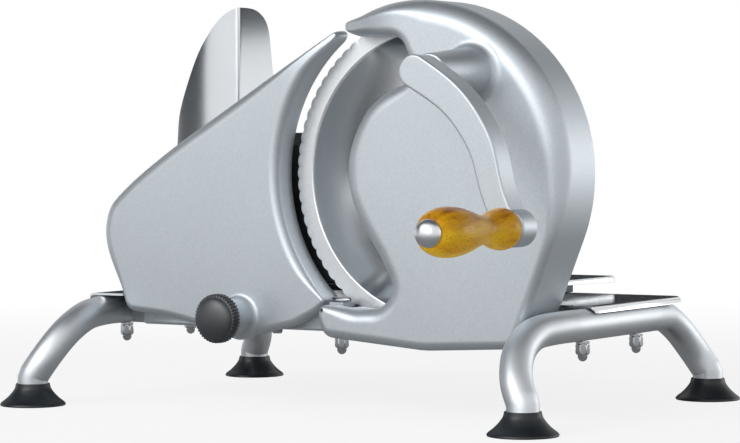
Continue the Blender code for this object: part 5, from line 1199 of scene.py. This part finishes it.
def tray():
    """A sheet folded down round its edge: rounded plan rings carried over the bend and down the lip,
    outside first and then back up inside, the lip's depth growing along the ends towards the rear."""
    plan = filleted([
        (CARRIAGE_LEFT, CARRIAGE_FRONT, 0.0020), (CARRIAGE_RIGHT, CARRIAGE_FRONT, 0.0020),
        (CARRIAGE_RIGHT, CARRIAGE_BACK, 0.0030), (CARRIAGE_LEFT, CARRIAGE_BACK, 0.0030),
    ], 8)
    plan = even(plan, 600, closed=True)
    grown = np.clip((plan[:, 1] - LIP_TAPER_Y) / (CARRIAGE_BACK - LIP_TAPER_Y), 0, 1)
    front = plan[:, 1] < CARRIAGE_FRONT + 0.004
    lip = np.where(front, CARRIAGE_LIP, CARRIAGE_LIP_FRONT + (CARRIAGE_LIP - CARRIAGE_LIP_FRONT) * grown)
    bend = np.linspace(0, pi / 2, 8)
    inner = CARRIAGE_BEND - PLATE_T
    rows = [(FLAT_FROM, 0.0, 0)]
    rows += [(CARRIAGE_BEND * (1 - sin(a)), CARRIAGE_BEND * (1 - cos(a)), 0) for a in bend]
    rows += [(0.0, 0.0, 1), (PLATE_T, 0.0, 1)]
    rows += [(PLATE_T + inner * (1 - sin(a)), PLATE_T + inner * (1 - cos(a)), 0) for a in bend[::-1]]
    rows += [(FLAT_FROM, PLATE_T, 0)]
    rings = []
    for inset, drop, at_lip in rows:
        now = shrunk(plan, np.full(len(plan), inset), 4) if inset else plan
        depth = lip if at_lip else np.full(len(plan), drop)
        rings.append(np.stack([now[:, 0], now[:, 1] + SHIFT, CARRIAGE_TOP - depth], axis=1))
    return filled("tray", np.array(rings), mirror)


dressed(tray(), "carriage", "carriage_plate")


# Thumb guard: 1.2 mm mirror stainless, bent once, its foot riveted to the carriage.
# The front panel hides behind the stop plate, and the side panel sweeps down to the rear.

GUARD_X = -0.0630
GUARD_T = 0.0012
GUARD_FACE = CARRIAGE_FRONT - GAP
GUARD_BACK = 0.1060
FOOT_WIDTH = 0.0140
GUARD_TOP = 0.2165
GUARD_BEND = 0.0025
FRONT_PANEL = (
    (-0.1110, 0.0600), (-0.1043, 0.1414), (-0.1022, 0.1608), (-0.0918, 0.1883),
    (-0.0840, 0.2010), (-0.0783, 0.2080), (-0.0716, 0.2137), (-0.0637, 0.2165),
)
SIDE_PANEL = (
    (-0.0340, 0.2165), (-0.0203, 0.2160), (-0.0104, 0.2107), (-0.0074, 0.2052), (-0.0055, 0.1942),
    (-0.0036, 0.1820), (0.0020, 0.1500), (0.0100, 0.1250), (0.0200, 0.1100), (0.0380, 0.0960),
    (0.0600, 0.0850), (0.0850, 0.0810), (0.1000, 0.0800),
)


def sheet(name, way, start, amount):
    """Bright sheet that bows beyond a place along an axis, by an amount times the distance squared."""
    made = Finish(name, {"Metallic": 1.0, "Base Color": MIRROR_STEEL, "Roughness": 0.16})
    grinding = made.noise(made.spot((700, 25, 700)), 1.0, 3.0)
    handled = made.noise(made.spot(), 35.0, 3.0)
    beyond = made.add("ShaderNodeSeparateXYZ", {}, {0: made.spot()}, way) - start
    bowed = (beyond.least(0.0) if way == 0 else beyond.most(0.0)) ** 2 * amount
    made.feed("Base Color", made.shades(handled, (0.66, 0.69, 0.72), (0.74, 0.77, 0.80)))
    made.feed("Roughness", 0.13 + grinding * 0.06 + handled * 0.05)
    made.bump(grinding * 0.0000008 - bowed, 1.0)
    return made


bright = sheet("bright_front_sheet", 0, GUARD_X - 0.0060, 5.0)
bright_side = sheet("bright_side_sheet", 2, 0.1100, 2.2)
bend = np.linspace(0, pi / 2, 14)
arc = np.stack([np.sin(bend), -np.cos(bend)], axis=1)
near = GUARD_FACE - GUARD_T
middle = np.array((GUARD_X - GUARD_BEND, near + GUARD_BEND))
section = np.concatenate([
    [(CARRIAGE_LEFT, GUARD_FACE), (CARRIAGE_LEFT, near)], middle + arc * GUARD_BEND,
    [(GUARD_X, GUARD_BACK), (GUARD_X - GUARD_T, GUARD_BACK)], middle + arc[::-1] * (GUARD_BEND - GUARD_T),
]) + (0, SHIFT)
low = CARRIAGE_TOP + GAP
guard = prism("bent_guard", section, "Z", low, GUARD_TOP, bright)
carve(guard, [brick(
    "guard_foot", (GUARD_X - GUARD_T - FOOT_WIDTH, 0.0200 + SHIFT, low),
    (GUARD_X - GUARD_T / 2, 0.1040 + SHIFT, low + GUARD_T),
)], "UNION")
front = eased(even(through(FRONT_PANEL, 8), 80), 6)
front_waste = np.concatenate([
    [(-0.2, 0.05), (front[0][0], 0.05)], front, [(front[-1][0], 0.25), (-0.2, 0.25)],
])
side = eased(even(through(SIDE_PANEL, 8), 90), 6)
side = side + (SHIFT, 0)
side_waste = np.concatenate([side, [(0.3, side[-1][1]), (0.3, 0.25), (side[0][0], 0.25)]])
carve(guard, [
    prism("front_waste", front_waste, "Y", -0.05 + SHIFT, GUARD_FACE + 0.0010 + SHIFT),
    prism("side_waste", side_waste, "X", GUARD_X - 0.003, GUARD_X + 0.003),
])
guard.data.materials.clear()
guard.data.materials.append(bright.material)
guard.data.materials.append(bright_side.material)
for face in guard.data.polygons:
    face.material_index = int(abs(face.normal.x) > 0.98)
dressed(guard, "carriage", "thumb_guard")


# Food holder: a ribbed black plastic pusher with a round grip screwed on behind.
# The pusher is its solid, shaded smooth, and the grip is turned with a waist for the fingers.

HOLDER_LEFT = -0.0624
HOLDER_RIGHT = 0.0700
HOLDER_FACE = -0.0350
HOLDER_T = 0.0040
HOLDER_GRIP_Z = 0.1150
HOLDER_BORE_R = 0.0023

copied("pusher", "holder_plate", black, "holder")
grip_rows = through([
    (0.0150, 0.0000), (0.0150, 0.0024), (0.0138, 0.0040), (0.0108, 0.0060), (0.0090, 0.0100),
    (0.0085, 0.0150), (0.0089, 0.0210), (0.0108, 0.0275), (0.0135, 0.0340), (0.0149, 0.0395),
    (0.0147, 0.0435), (0.0130, 0.0475), (0.0095, 0.0503), (0.0050, 0.0514), (0.0000, 0.0515),
], 5)
holder_line = np.concatenate([[(HOLDER_BORE_R, 0.0)], grip_rows, [(0.0, 0.018), (HOLDER_BORE_R, 0.018)]])
holder_line += (0, HOLDER_FACE + HOLDER_T + GAP)
grip_at = ((HOLDER_LEFT + HOLDER_RIGHT) / 2, SHIFT, HOLDER_GRIP_Z)
holder_grip = turned("pusher_grip", holder_line, "Y", grip_at, black, 72, 40, ring=True)
dressed(holder_grip, "holder", "holder_grip")
